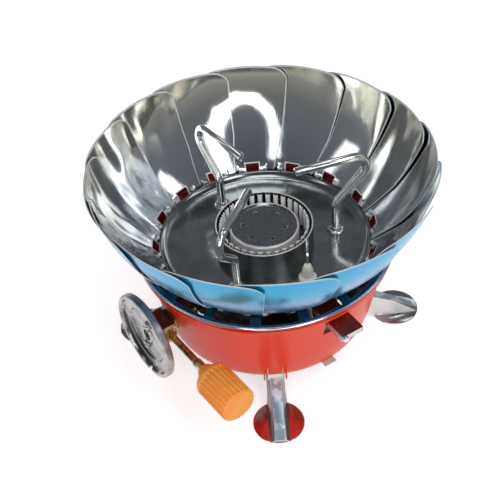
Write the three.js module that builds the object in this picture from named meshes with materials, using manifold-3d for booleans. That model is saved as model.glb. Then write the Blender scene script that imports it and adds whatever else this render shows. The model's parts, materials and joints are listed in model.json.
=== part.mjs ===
// Folding camping gas stove: a red pan body on three folding legs, a round
// burner inside a bowl of sixteen hinged windshield petals, three swivelling
// pot supports, a side valve with its knob and cartridge adaptor, and a
// lever-operated piezo igniter.
//
// Millimetres, +Z up. The vertical axis of the burner is x = y = 0, and z = 0
// is the flat underside of the floor plate inside the body.

import * as THREE from 'three';
import { mergeVertices } from 'three/addons/utils/BufferGeometryUtils.js';
import Module from 'manifold-3d';

const wasm = await Module();
wasm.setup();

const SEGMENTS = 48; // facets of the large turned pieces
const FIT = 0.03; // gap between pieces that rest against each other

// Burner radii, from the cap outwards
const CAP_R = 20.4;
const STRIP_INNER_R = CAP_R + 1.8;
const STRIP_OUTER_R = STRIP_INNER_R + 5.4;
const CUP_R = STRIP_OUTER_R + 1;

// Burner plate: one stamping with a shoulder, a slotted slope and a rolled edge
const PLATE_SHEET = 0.7;
const PLATE_Z = 36;
const SLOT_INNER_R = 62.6;
const SLOT_OUTER_R = 69.2;
const SLOT_DEGREES = 17.5;
const SHOULDER_Z = PLATE_Z + 2.5;
const FLANGE_Z = PLATE_Z - 1;
const FLANGE_WIDTH = 2.7; // flat ring between the slots' slope and the rim
const CURL_R = 0.6; // roundings of the rolled edge
const CURL_Z = PLATE_Z + 3.6; // top of the rolled edge
const CURL_WIDTH = 2.6;
const SLOPE_FOOT_R = SLOT_OUTER_R + CURL_R;
const CURL_INNER_R = SLOPE_FOOT_R + FLANGE_WIDTH + PLATE_SHEET + 0.2;
const PLATE_RIM_R = CURL_INNER_R + CURL_WIDTH;
const PLATE_FACE = [ // upper face from the burner hole to the rolled edge
  [CUP_R + FIT, PLATE_Z], [SLOT_INNER_R - 5.3, PLATE_Z], [SLOT_INNER_R - 3, PLATE_Z + 1],
  [SLOT_INNER_R - 1.6, SHOULDER_Z - 0.2], [SLOT_INNER_R - 0.8, SHOULDER_Z], [SLOT_INNER_R - 0.1, SHOULDER_Z - 0.3],
  [SLOPE_FOOT_R, FLANGE_Z], [SLOPE_FOOT_R + FLANGE_WIDTH, FLANGE_Z], [CURL_INNER_R, FLANGE_Z + 0.9],
  [CURL_INNER_R, CURL_Z - CURL_R], [CURL_INNER_R + CURL_R, CURL_Z], [PLATE_RIM_R - CURL_R, CURL_Z],
  [PLATE_RIM_R, CURL_Z - CURL_R], [PLATE_RIM_R, CURL_Z - 1.9],
];

// Body shell: its rim stands inside the plate's rolled edge
const SHELL_SHEET = 0.8;
const RIM_R = PLATE_RIM_R - PLATE_SHEET - 0.3;
const RIM_Z = CURL_Z - PLATE_SHEET - 0.14;
const BASE_Z = -17.2;
const FLARE = 16.2; // how far the rim stands out beyond the base
const BASE_R = RIM_R - FLARE;
const LIP_WIDTH = 5.8;
const WALL_FOOT = [BASE_R + 6, -2];
const WALL_TOP = [RIM_R - 3.1, 32];
const SHELL_WALL = [ // outer face from the lip up to the rim: radius, height
  [BASE_R - LIP_WIDTH, BASE_Z], [BASE_R, BASE_Z], [BASE_R + 1.6, BASE_Z + 1.3], [WALL_FOOT[0] - 2.6, WALL_FOOT[1] - 10],
  WALL_FOOT, [(WALL_FOOT[0] + WALL_TOP[0]) / 2 + 0.65, 18], WALL_TOP, [RIM_R - 0.8, WALL_TOP[1] + 1.4],
  [RIM_R, WALL_TOP[1] + 2.3], [RIM_R, RIM_Z],
];

// Windshield petals
const PETALS = 16;
const PETAL_PITCH = 360 / PETALS;
const PETAL_PHASE = 161.2; // azimuth of the first petal
const PETAL_SHEET = 0.5;
const PETAL_FOOT = [63, 39.4]; // inner face: radius, height
const PETAL_BELLY = [89.2, 63];
const PETAL_TIP = [97.5, 94];
const HINGE_X = 62; // axis of the foot's hooks
const HINGE_Z = 38.2;
const HOOK_INNER = 1.25;
const HOOK_OUTER = 1.75;
const HOOK_NEAR = 6.2; // hooks, measured sideways from the petal's middle
const HOOK_FAR = 8.8;
const WINDOW_U = 0.31; // half-width of the foot window, as part of the petal's half-width
const WINDOW_V = 0.055; // height of the window along the profile

// Burner
const CUP_SHEET = 0.8;
const CUP_FLOOR_Z = 33;
const CUP_TOP_Z = 48.8;
const NECK_OUTER_R = 6.4;
const STRIP_TEETH = 34;
const STRIP_SHEET = 0.45;
const STRIP_TOP_Z = 48.6;
const CAP_Z = 46.4;

// Pot supports
const SUPPORTS = { a: [125.5, 0], b: [6, 9], c: [245, 1] }; // azimuth of the pivot, swivel
const SUPPORT_R = 42.3; // radius of the pivots
const WIRE_R = 2.4;
const ELBOW_REACH = 30.2; // corner of the elbow beyond the pivot
const TIP_REACH = 24.4;
const ELBOW_Z = 87;
const TIP_Z = 86;
const KINK_Z = 57;

// Legs
const LEG_AZIMUTHS = { front: 270.5, right: 3.5, left: 177.5 };
const LEG_PIN = [BASE_R - 2.3, BASE_Z + 1.7];
const LEG_PIN_R = 1.5;
const LEG_SHEET = 0.9;
const LEG_TOE_X = LEG_PIN[0] + 37.9;
const FOOT_X = LEG_PIN[0] + 23.8; // centre of the foot disc
const FOOT_R = 14.9;
const FOOT_Z = -35.2; // underside of the foot disc
const EAR_NEAR = 5.9;
const EAR_FAR = 6.8;

// Gas side, laid out along its own x axis
const GAS_AZIMUTH = 214;
const GAS_Z = 11.8;
const VALVE_X = RIM_R - 4.1; // where the valve block starts, outside the wall
const VALVE = { x0: VALVE_X, x1: VALVE_X + 9.1, half: 7.75, z0: 5.3, z1: 18.3 };
const NECK_R = 5;
const NECK_X = VALVE_X - 14.9; // inner end of the neck
const STEM_X = VALVE_X + 3.7;
const STEM_Z = 10.4;
const STEM_R = 2.1;
const STEM_COLLAR = { radius: 2.7, from: 33.6, to: 39.6 };
const KNOB_START = 40.5;
const KNOB_END = 73.4;
const STEM_GRIP = 15.5; // length of stem inside the knob
const KNOB_R = 10.7;
const KNOB_RIBS = 24;
const ADAPTOR_X = VALVE.x1 + 3.5;
const ADAPTOR_DEPTH = 5.4;
const ADAPTOR_R = 26.5;

// Igniter, laid out along its own x axis
const IGNITER_AZIMUTH = 300.5;
const LEVER_PIN = [RIM_R - 21, 28.4];
const LEVER_END_X = RIM_R + 10.4;
const LEVER_HALF = 7;
const LEVER_TOP_Z = 30.4;
const BRACKET_SHEET = 0.8;
const BRACKET_HALF = LEVER_HALF + 1.2; // inside of the two cheeks
const BRACKET_BACK_X = LEVER_PIN[0] - 5.5;
const BRACKET_FRONT_X = LEVER_PIN[0] + 9.2;
const BRACKET_FOOT_X = LEVER_PIN[0] - 2.8;
const BRACKET_FOOT_Y = [-2, 6];
const PIEZO_X = LEVER_PIN[0] + 7.5;
const ELECTRODE_X = 43.4;

const MATERIALS = {
  enamel: { color: 0xd8402c, roughness: 0.22, metalness: 0.0 },
  steel: { color: 0xc9ccd0, roughness: 0.12, metalness: 1.0 },
  film: { color: 0x9fc4dc, roughness: 0.15, metalness: 1.0 },
  zinc: { color: 0xa9adb0, roughness: 0.35, metalness: 1.0 },
  wire: { color: 0xd3d5d8, roughness: 0.18, metalness: 1.0 },
  brass: { color: 0xc39a45, roughness: 0.3, metalness: 1.0 },
  cast: { color: 0xa7a9ab, roughness: 0.42, metalness: 0.9 },
  orange: { color: 0xf57f20, roughness: 0.55, metalness: 0.0 },
  ceramic: { color: 0xefece2, roughness: 0.3, metalness: 0.0 },
  rubber: { color: 0x1c1c1d, roughness: 0.8, metalness: 0.0 },
  black: { color: 0x26262a, roughness: 0.5, metalness: 0.0 },
};

const rad = THREE.MathUtils.degToRad;

// Solids: closed geometries in and out of the boolean library.

function weld(geometry) {
  const bare = geometry.clone();
  bare.deleteAttribute('uv');
  bare.deleteAttribute('normal');
  return mergeVertices(bare, 1e-4);
}

function toSolid(geometry) {
  const g = weld(geometry);
  const index = Uint32Array.from(g.index.array);
  const solid = new wasm.Manifold(new wasm.Mesh({
    numProp: 3,
    vertProperties: Float32Array.from(g.attributes.position.array),
    triVerts: index,
  }));
  if (solid.volume() >= 0) return solid;
  for (let i = 0; i < index.length; i += 3) [index[i], index[i + 1]] = [index[i + 1], index[i]];
  return new wasm.Manifold(new wasm.Mesh({
    numProp: 3,
    vertProperties: Float32Array.from(g.attributes.position.array),
    triVerts: index,
  }));
}

function toGeometry(solid) {
  const mesh = solid.getMesh();
  const geometry = new THREE.BufferGeometry();
  geometry.setAttribute('position', new THREE.BufferAttribute(Float32Array.from(mesh.vertProperties), 3));
  geometry.setIndex(new THREE.BufferAttribute(Uint32Array.from(mesh.triVerts), 1));
  const flat = geometry.toNonIndexed();
  flat.computeVertexNormals();
  return flat;
}

const join = (first, ...others) => others.reduce((sum, g) => sum.add(toSolid(g)), toSolid(first));
const cut = (solid, ...tools) => tools.reduce((rest, g) => rest.subtract(toSolid(g)), solid);

// Shapes: small builders around the geometry classes.

// Turned about the Z axis; points are [radius, height], and the profile closes on itself.
function turned(points, segments = SEGMENTS) {
  const profile = [...points, points[0]].map(([r, z]) => new THREE.Vector2(r, z));
  return new THREE.LatheGeometry(profile, segments).rotateX(Math.PI / 2);
}

// A turned piece that reaches the axis: its points start and end on it.
function spindle(points, segments = 16) {
  const profile = points.map(([r, z]) => new THREE.Vector2(r, z));
  return new THREE.LatheGeometry(profile, segments).rotateX(Math.PI / 2);
}

const rod = (radius, from, to, segments = 16) =>
  spindle([[0, from], [radius, from], [radius, to], [0, to]], segments);

const alongX = (geometry) => geometry.rotateY(Math.PI / 2);
const alongY = (geometry) => geometry.rotateX(-Math.PI / 2);

function block(x0, x1, y0, y1, z0, z1) {
  return new THREE.BoxGeometry(x1 - x0, y1 - y0, z1 - z0)
    .translate((x0 + x1) / 2, (y0 + y1) / 2, (z0 + z1) / 2);
}

// A flat plate whose outline is [x, z] points, standing between two y values.
function cheek(outline, y0, y1) {
  const shape = new THREE.Shape(outline.map(([x, z]) => new THREE.Vector2(x, z)));
  return new THREE.ExtrudeGeometry(shape, { depth: y1 - y0, bevelEnabled: false })
    .rotateX(Math.PI / 2).translate(0, y1, 0);
}

// The closed outline of a sheet whose first face follows the points and whose
// other face lies to their left by the thickness.
function sheet(points, thickness) {
  const left = ([ax, az], [bx, bz]) => {
    const length = Math.hypot(bx - ax, bz - az);
    return [-(bz - az) / length, (bx - ax) / length];
  };
  const back = points.map((p, i) => {
    const before = i > 0 ? left(points[i - 1], p) : left(p, points[1]);
    const after = i < points.length - 1 ? left(p, points[i + 1]) : before;
    const reach = thickness / (1 + before[0] * after[0] + before[1] * after[1]);
    return [p[0] + reach * (before[0] + after[0]), p[1] + reach * (before[1] + after[1])];
  });
  return [...points, ...back.reverse()];
}

// A block in the shape of a ring sector centred on the x axis.
function sector(inner, outer, degrees, z0, z1) {
  const arc = (r) => Array.from({ length: 4 }, (_, i) => {
    const angle = rad(degrees * (i / 3 - 0.5));
    return new THREE.Vector2(r * Math.cos(angle), r * Math.sin(angle));
  });
  const shape = new THREE.Shape([...arc(outer), ...arc(inner).reverse()]);
  return new THREE.ExtrudeGeometry(shape, { depth: z1 - z0, bevelEnabled: false }).translate(0, 0, z0);
}

// A solid through a row of convex sections with the same number of corners.
function loft(sections) {
  const positions = [];
  const corners = sections[0].length;
  for (let k = 0; k + 1 < sections.length; k++) {
    for (let m = 0; m < corners; m++) {
      const n = (m + 1) % corners;
      const [a, b, c, d] = [sections[k][m], sections[k][n], sections[k + 1][n], sections[k + 1][m]];
      positions.push(...a, ...b, ...c, ...a, ...c, ...d);
    }
  }
  const [first, last] = [sections[0], sections[sections.length - 1]];
  for (let m = 1; m + 1 < corners; m++) {
    positions.push(...first[0], ...first[m + 1], ...first[m], ...last[0], ...last[m], ...last[m + 1]);
  }
  const geometry = new THREE.BufferGeometry();
  geometry.setAttribute('position', new THREE.Float32BufferAttribute(positions, 3));
  return geometry;
}

const crossBore = (radius, [x, z]) => alongY(rod(radius, -13, 13)).translate(x, 0, z);

// A headed pin lying across the x axis, its heads outside plus and minus the grip.
const rivet = (radius, headR, grip, head, [x, z]) => alongY(spindle([
  [0, -grip - head], [headR, -grip - head], [headR, -grip], [radius, -grip],
  [radius, grip], [headR, grip], [headR, grip + head], [0, grip + head],
])).translate(x, 0, z);

// A path that is sampled exactly at its own stations.
class Stations extends THREE.Curve {
  constructor(stations) {
    super();
    this.stations = stations;
  }
  at(u) {
    return this.stations[Math.round(u * (this.stations.length - 1))];
  }
  getPoint(u, target = new THREE.Vector3()) {
    return target.copy(this.at(u).point);
  }
  getPointAt(u, target) {
    return this.getPoint(u, target);
  }
  getTangentAt(u, target = new THREE.Vector3()) {
    return target.copy(this.at(u).tangent);
  }
}

// A round wire along straight runs, each corner an arc of the bend radius.
function wire(points, radius, bend, sides) {
  const at = points.map((p) => new THREE.Vector3(...p));
  const heading = (i) => at[i + 1].clone().sub(at[i]).normalize();
  const stations = [{ point: at[0], tangent: heading(0) }];
  for (let i = 1; i < at.length - 1; i++) {
    const [d0, d1] = [heading(i - 1), heading(i)];
    const angle = d0.angleTo(d1);
    const axis = d0.clone().cross(d1).normalize();
    const start = at[i].clone().addScaledVector(d0, -bend * Math.tan(angle / 2));
    const centre = start.clone().addScaledVector(axis.clone().cross(d0), bend);
    const steps = Math.max(3, Math.round(THREE.MathUtils.radToDeg(angle) / 15));
    for (let k = 0; k <= steps; k++) {
      const spin = (angle * k) / steps;
      stations.push({
        point: start.clone().sub(centre).applyAxisAngle(axis, spin).add(centre),
        tangent: d0.clone().applyAxisAngle(axis, spin),
      });
    }
  }
  stations.push({ point: at[at.length - 1], tangent: heading(at.length - 2) });
  const ring = Array.from({ length: sides }, (_, i) => {
    const angle = (i / sides) * 2 * Math.PI;
    return new THREE.Vector2(radius * Math.cos(angle), radius * Math.sin(angle));
  });
  return new THREE.ExtrudeGeometry(new THREE.Shape(ring), {
    steps: stations.length - 1, bevelEnabled: false, extrudePath: new Stations(stations),
  });
}

const turn = (geometry, degrees) => geometry.rotateZ(rad(degrees));

// Scene graph: the body frame, with a turned group for each side assembly.

const stove = new THREE.Group();

function side(azimuth) {
  const group = new THREE.Group();
  group.rotation.z = rad(azimuth);
  stove.add(group);
  return group;
}

function add(name, shape, material, parent = stove) {
  const geometry = toGeometry(shape instanceof THREE.BufferGeometry ? toSolid(shape) : shape);
  const mesh = new THREE.Mesh(geometry, new THREE.MeshStandardMaterial(MATERIALS[material]));
  mesh.name = name;
  parent.add(mesh);
  return mesh;
}

// Body shell: an open pan with a lip turned in at the bottom, slots and ears
// for the three legs, and openings for the valve's neck and the lever.

let shell = toSolid(turned(sheet(SHELL_WALL, SHELL_SHEET)));
const earOutline = [
  [BASE_R - 7.8, BASE_Z - 3.2], [BASE_R + 1.8, BASE_Z - 3.2], [BASE_R + 4, BASE_Z - 0.4], [BASE_R + 5.8, BASE_Z + 6.2],
  [BASE_R + 5.5, BASE_Z + 12.6], [BASE_R + 4.8, BASE_Z + 12.6], [BASE_R + 2.6, BASE_Z + 5.8], [BASE_R - 2.8, BASE_Z + 4.8],
  [BASE_R - 7.8, BASE_Z + 3.2],
];
for (const azimuth of Object.values(LEG_AZIMUTHS)) {
  shell = cut(
    shell,
    turn(block(BASE_R - 8.8, BASE_R + 9.2, -EAR_NEAR, EAR_NEAR, BASE_Z - 2.8, BASE_Z + 2.6), azimuth),
    turn(block(BASE_R - 8.8, BASE_R + 0.6, -EAR_FAR - 2.2, EAR_FAR + 2.2, BASE_Z - 2.8, BASE_Z + 3.2), azimuth),
  );
  for (const [y0, y1] of [[EAR_NEAR, EAR_FAR], [-EAR_FAR, -EAR_NEAR]]) {
    shell = shell.add(toSolid(turn(cheek(earOutline, y0, y1), azimuth)));
  }
  shell = cut(shell, turn(crossBore(LEG_PIN_R + 0.05, LEG_PIN), azimuth));
}
shell = cut(
  shell,
  turn(alongX(rod(NECK_R + 0.3, VALVE_X - 11, VALVE_X + 9)).translate(0, 0, GAS_Z), GAS_AZIMUTH),
  turn(block(RIM_R - 15, RIM_R + 5, -LEVER_HALF - 0.7, LEVER_HALF + 0.7, 18, LEVER_TOP_Z + 1.2), IGNITER_AZIMUTH),
);
add('body_shell', shell, 'enamel');

const FLOOR_SHEET = 0.8;
const wallLean = ([r0, z0], [r1, z1]) => (r1 - r0) / (z1 - z0);
const lean = wallLean(SHELL_WALL[4], SHELL_WALL[5]);
const FLOOR_EDGE = WALL_FOOT[0] - WALL_FOOT[1] * lean - SHELL_SHEET * Math.hypot(1, lean) - FIT;
let floor = toSolid(spindle([[0, 0], [FLOOR_EDGE, 0], [FLOOR_EDGE, FLOOR_SHEET], [0, FLOOR_SHEET]], SEGMENTS));
const FLOOR_VENT_R = 4;
for (let i = 0; i < 6; i++) {
  floor = cut(floor, turn(rod(FLOOR_VENT_R, -1, 2, 12).translate(BASE_R - 12.8, 0, 0), 30 + 60 * i));
}
floor = cut(floor, turn(block(
  BRACKET_FOOT_X - 0.4, BRACKET_FOOT_X + BRACKET_SHEET + 0.4, BRACKET_FOOT_Y[0] - 0.4, BRACKET_FOOT_Y[1] + 0.4, -FLOOR_SHEET, 2 * FLOOR_SHEET,
), IGNITER_AZIMUTH));
add('floor_plate', floor, 'zinc');

// Burner plate: slots through the slope let each petal's hooks and the air in.

let plate = toSolid(turned(sheet(PLATE_FACE, -PLATE_SHEET)));
for (let i = 0; i < PETALS; i++) {
  plate = cut(plate, turn(sector(SLOT_INNER_R, SLOT_OUTER_R, SLOT_DEGREES, 33, 41), PETAL_PHASE - i * PETAL_PITCH));
}
for (const [azimuth] of Object.values(SUPPORTS)) {
  plate = cut(plate, turn(rod(WIRE_R + 0.12, 30, 40).translate(SUPPORT_R, 0, 0), azimuth));
}
plate = cut(plate, turn(rod(2.85, 30, 40).translate(ELECTRODE_X, 0, 0), IGNITER_AZIMUTH));
add('burner_plate', plate, 'steel');

// Petals: each is a curved sheet with a window at its foot and two hooks
// around the plate's shoulder. The clockwise edge lies inside its neighbour,
// the anticlockwise edge outside, so that the bowl overlaps like a spiral.

function petalProfile(v) {
  const s = 1 - v;
  const point = [0, 1].map((k) => s * s * PETAL_FOOT[k] + 2 * s * v * PETAL_BELLY[k] + v * v * PETAL_TIP[k]);
  const slope = [0, 1].map((k) => 2 * s * (PETAL_BELLY[k] - PETAL_FOOT[k]) + 2 * v * (PETAL_TIP[k] - PETAL_BELLY[k]));
  const length = Math.hypot(...slope);
  return { r: point[0], z: point[1], nr: slope[1] / length, nz: -slope[0] / length };
}

const halfAngle = (v) => 12.2 + 2.8 * Math.min(1, v / 0.35) + 2 * v; // degrees
const spiral = (v) => 0.7 + 1.2 * v;
const topDrop = (u) => 0.02 * u * u + 0.1 * Math.abs(u) ** 8;

function petalPoint(u, v, lift) {
  const height = v * (1 - topDrop(u));
  const { r, z, nr, nz } = petalProfile(height);
  const radius = r + spiral(height) * u + lift * nr;
  const angle = rad(halfAngle(height) * u);
  return [radius * Math.cos(angle), radius * Math.sin(angle), z + lift * nz];
}

const COLUMNS = [-1, -0.93, -0.8, -WINDOW_U, 0, WINDOW_U, 0.8, 0.93, 1];
const ROWS = [0, WINDOW_V, 0.3, 0.54, 0.78, 1];

function petalSheet() {
  const open = (i, j) => ROWS[j] < WINDOW_V && Math.abs(COLUMNS[i] + COLUMNS[i + 1]) / 2 < WINDOW_U;
  const filled = (i, j) => i >= 0 && j >= 0 && i < COLUMNS.length - 1 && j < ROWS.length - 1 && !open(i, j);
  const at = (i, j, outer) => petalPoint(COLUMNS[i], ROWS[j], outer ? PETAL_SHEET : 0);
  const positions = [];
  const quad = (a, b, c, d) => positions.push(...a, ...b, ...c, ...a, ...c, ...d);
  for (let i = 0; i < COLUMNS.length - 1; i++) {
    for (let j = 0; j < ROWS.length - 1; j++) {
      if (!filled(i, j)) continue;
      quad(at(i, j, true), at(i + 1, j, true), at(i + 1, j + 1, true), at(i, j + 1, true));
      quad(at(i, j, false), at(i, j + 1, false), at(i + 1, j + 1, false), at(i + 1, j, false));
      if (!filled(i, j - 1)) quad(at(i, j, false), at(i + 1, j, false), at(i + 1, j, true), at(i, j, true));
      if (!filled(i, j + 1)) quad(at(i, j + 1, true), at(i + 1, j + 1, true), at(i + 1, j + 1, false), at(i, j + 1, false));
      if (!filled(i - 1, j)) quad(at(i, j, true), at(i, j + 1, true), at(i, j + 1, false), at(i, j, false));
      if (!filled(i + 1, j)) quad(at(i + 1, j, false), at(i + 1, j + 1, false), at(i + 1, j + 1, true), at(i + 1, j, true));
    }
  }
  const geometry = new THREE.BufferGeometry();
  geometry.setAttribute('position', new THREE.Float32BufferAttribute(positions, 3));
  return geometry;
}

// A hook wraps over, outside and under the shoulder's edge.
function hook(y0, y1) {
  const arc = (radius, from, to) => Array.from({ length: 5 }, (_, i) => {
    const angle = rad(from + ((to - from) * i) / 4);
    return [HINGE_X + radius * Math.cos(angle), HINGE_Z + radius * Math.sin(angle)];
  });
  return cheek([...arc(HOOK_OUTER, -100, 100), ...arc(HOOK_INNER, 100, -100)], y0, y1);
}

const petal = join(petalSheet(), hook(HOOK_NEAR, HOOK_FAR), hook(-HOOK_FAR, -HOOK_NEAR));
for (let i = 0; i < PETALS; i++) {
  const mesh = add(`petal_${String(i + 1).padStart(2, '0')}`, petal, 'film');
  mesh.rotation.z = rad(PETAL_PHASE - i * PETAL_PITCH);
}

// Burner: a cup with a neck, a crimped flame strip and a pressed cap.

add('burner_cup', turned(sheet([
  [NECK_OUTER_R, 23], [NECK_OUTER_R, 31], [8, CUP_FLOOR_Z], [CUP_R - 0.8, CUP_FLOOR_Z], [CUP_R, CUP_FLOOR_Z + 0.8], [CUP_R, CUP_TOP_Z],
], CUP_SHEET)), 'steel');

const STRIP_FOOT_Z = CUP_FLOOR_Z + CUP_SHEET + 0.75;
function zigzag(outset) {
  return Array.from({ length: STRIP_TEETH * 4 }, (_, i) => {
    const r = (i % 4 < 2 ? STRIP_OUTER_R - 0.5 : STRIP_INNER_R + 0.3) + outset;
    const angle = ((i + (i % 2 ? -0.2 : 0.2)) / (STRIP_TEETH * 4)) * 2 * Math.PI;
    return new THREE.Vector2(r * Math.cos(angle), r * Math.sin(angle));
  });
}
const crimp = new THREE.Shape(zigzag(STRIP_SHEET / 2));
crimp.holes.push(new THREE.Path(zigzag(-STRIP_SHEET / 2)));
add('flame_strip', new THREE.ExtrudeGeometry(crimp, {
  depth: STRIP_TOP_Z - STRIP_FOOT_Z, bevelEnabled: false,
}).translate(0, 0, STRIP_FOOT_Z), 'steel');

let cap = toSolid(spindle([
  [0, CAP_Z - 0.8], [CAP_R - 2.2, CAP_Z - 0.8], [CAP_R - 0.8, CAP_Z - 0.2], [CAP_R - 0.8, CUP_FLOOR_Z + CUP_SHEET + 0.04], [CAP_R, CUP_FLOOR_Z + CUP_SHEET + 0.04],
  [CAP_R, CAP_Z + 0.4], [CAP_R - 0.7, CAP_Z + 0.9], [CAP_R - 1.5, CAP_Z + 0.5], [CAP_R - 2.6, CAP_Z], [0, CAP_Z],
], 40));
for (let i = 0; i < 6; i++) cap = cut(cap, turn(rod(0.8, 40, 50, 8).translate(CAP_R - 7.7, 0, 0), 50 + 60 * i));
for (let i = 0; i < 8; i++) cap = cut(cap, turn(block(CAP_R - 4.7, CAP_R + 3.3, -3, 3, 35.5, 41), 45 * i));
add('burner_cap', cap, 'steel');

// Pot supports: bent wires that swivel in the burner plate.

for (const [key, [azimuth, swivel]] of Object.entries(SUPPORTS)) {
  const post = side(azimuth);
  const support = wire([
    [0, 0, PLATE_Z - 4], [0, 0, KINK_Z], [ELBOW_REACH, 0, ELBOW_Z], [-TIP_REACH, 0, TIP_Z],
  ], WIRE_R, 8, 9);
  add(`support_${key}`, turn(support, swivel).translate(SUPPORT_R, 0, 0), 'wire', post);
  add(`support_eyelet_${key}`, turned([
    [WIRE_R + 0.12, PLATE_Z + 0.03], [5, PLATE_Z + 0.03], [5, PLATE_Z + 0.6], [4.2, PLATE_Z + 1.1],
    [3.2, PLATE_Z + 1.3], [WIRE_R + 0.12, PLATE_Z + 1.1],
  ], 18).translate(SUPPORT_R, 0, 0), 'wire', post);
  add(`support_retainer_${key}`, turned([
    [WIRE_R + 0.06, PLATE_Z - 2.4], [5, PLATE_Z - 2.4], [5, PLATE_Z - PLATE_SHEET - 0.06],
    [WIRE_R + 0.06, PLATE_Z - PLATE_SHEET - 0.06],
  ], 18).translate(SUPPORT_R, 0, 0), 'zinc', post);
}

// Legs: pressed channels that fold under the body about a pin, each with a
// round foot. A channel is lofted through stations from the lugs at the pin to
// the toe: [x, crown height, crown half-width, hem height, hem half-width].

const CHANNEL = [
  [LEG_PIN[0] - 2.1, -14, 5.3, -17.6, 5.3],
  [LEG_PIN[0] + 1.2, -13.3, 5.3, -24.5, 5.3],
  [LEG_PIN[0] + 4.7, -17.6, 3.4, -29, 5.4],
  [LEG_PIN[0] + 10, -20.1, 3.2, FOOT_Z + 0.5, 6],
  [LEG_PIN[0] + 23.5, -26.4, 2.9, FOOT_Z + 0.5, 6.2],
  [LEG_TOE_X, -33.1, 3.3, FOOT_Z + 0.5, 5.8],
];
const HOLLOW = [
  [LEG_PIN[0] - 4.5, -8, 4.4, -25, 4.4],
  [LEG_PIN[0] + 2.5, -8, 4.4, -26, 4.4],
  [LEG_PIN[0] + 4.7, -18.6, 2.6, -29.6, 4.5],
  [LEG_PIN[0] + 10, -21.1, 2.4, FOOT_Z, 5.1],
  [LEG_PIN[0] + 23.5, -27.4, 2.1, FOOT_Z, 5.3],
  [LEG_TOE_X - 1.5, -33.4, 2.5, FOOT_Z, 4.9],
];
const trapezoids = (stations) => loft(stations.map(([x, crown, crownHalf, hem, hemHalf]) => [
  [x, crownHalf, crown], [x, -crownHalf, crown], [x, -hemHalf, hem], [x, hemHalf, hem],
]));

const leg = cut(
  cut(toSolid(trapezoids(CHANNEL)), trapezoids(HOLLOW))
    .add(toSolid(rod(FOOT_R, FOOT_Z, FOOT_Z + LEG_SHEET, 32).translate(FOOT_X, 0, 0))),
  crossBore(LEG_PIN_R + 0.05, LEG_PIN),
);
for (const [key, azimuth] of Object.entries(LEG_AZIMUTHS)) {
  const corner = side(azimuth);
  add(`leg_${key}`, leg, 'steel', corner);
  add(`leg_pin_${key}`, rivet(LEG_PIN_R, 2.4, EAR_FAR + 0.05, 0.9, LEG_PIN), 'zinc', corner);
}

// Gas side: valve block, stem with knob, cartridge adaptor and mixing tube.

const gas = side(GAS_AZIMUTH);
const ADAPTOR_FACE = ADAPTOR_X + ADAPTOR_DEPTH;

add('valve_block', cut(
  join(
    block(VALVE.x0, VALVE.x1, -VALVE.half, VALVE.half, VALVE.z0, VALVE.z1),
    alongX(rod(8.8, VALVE.x0 - 1.2, VALVE.x0 + 0.5, 32)).translate(0, 0, GAS_Z),
    alongX(rod(NECK_R, NECK_X, VALVE.x0 + 0.6)).translate(0, 0, GAS_Z),
  ),
  alongX(rod(1.6, NECK_X - 6, STEM_X - 1.6)).translate(0, 0, GAS_Z),
  alongY(rod(STEM_R + 0.06, 0, 12)).translate(STEM_X, 0, STEM_Z),
), 'brass', gas);

add('packing_nut', cut(
  toSolid(alongY(rod(3.1, VALVE.half + 0.03, VALVE.half + 3, 6)).translate(STEM_X, 0, STEM_Z)),
  alongY(rod(STEM_R + 0.06, 0, 20)).translate(STEM_X, 0, STEM_Z),
), 'brass', gas);

add('valve_stem', alongY(spindle([
  [0, 0.4], [STEM_R, 0.4], [STEM_R, STEM_COLLAR.from - 0.6], [STEM_COLLAR.radius, STEM_COLLAR.from],
  [STEM_COLLAR.radius, STEM_COLLAR.to], [STEM_R, STEM_COLLAR.to + 0.4], [STEM_R, KNOB_START + STEM_GRIP], [0, KNOB_START + STEM_GRIP],
])).translate(STEM_X, 0, STEM_Z), 'brass', gas);

const ribs = new THREE.Shape(Array.from({ length: KNOB_RIBS * 4 }, (_, i) => {
  const r = i % 4 < 2 ? KNOB_R : KNOB_R - 0.7;
  const angle = ((i + (i % 2 ? -0.1 : 0.1)) / (KNOB_RIBS * 4)) * 2 * Math.PI;
  return new THREE.Vector2(r * Math.cos(angle), r * Math.sin(angle));
}));
const knob = cut(
  join(
    new THREE.ExtrudeGeometry(ribs, { depth: KNOB_END - 51.5, bevelEnabled: false }).translate(0, 0, 51.5),
    spindle([
      [0, KNOB_START], [3.8, KNOB_START], [5.4, 43.2], [6, 44.8], [9.3, 47.2], [KNOB_R, 49.6], [KNOB_R, 52.5], [0, 52.5],
    ], 32),
  ),
  rod(STEM_R + FIT, 30, KNOB_START + STEM_GRIP + FIT),
);
add('knob', alongY(toGeometry(knob)).translate(STEM_X, 0, STEM_Z), 'orange', gas);

add('spigot', alongX(turned([
  [2, VALVE.x1 + 0.03], [7, VALVE.x1 + 0.03], [7, ADAPTOR_X - 0.03], [2, ADAPTOR_X - 0.03],
], 32)).translate(0, 0, GAS_Z), 'brass', gas);

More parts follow.
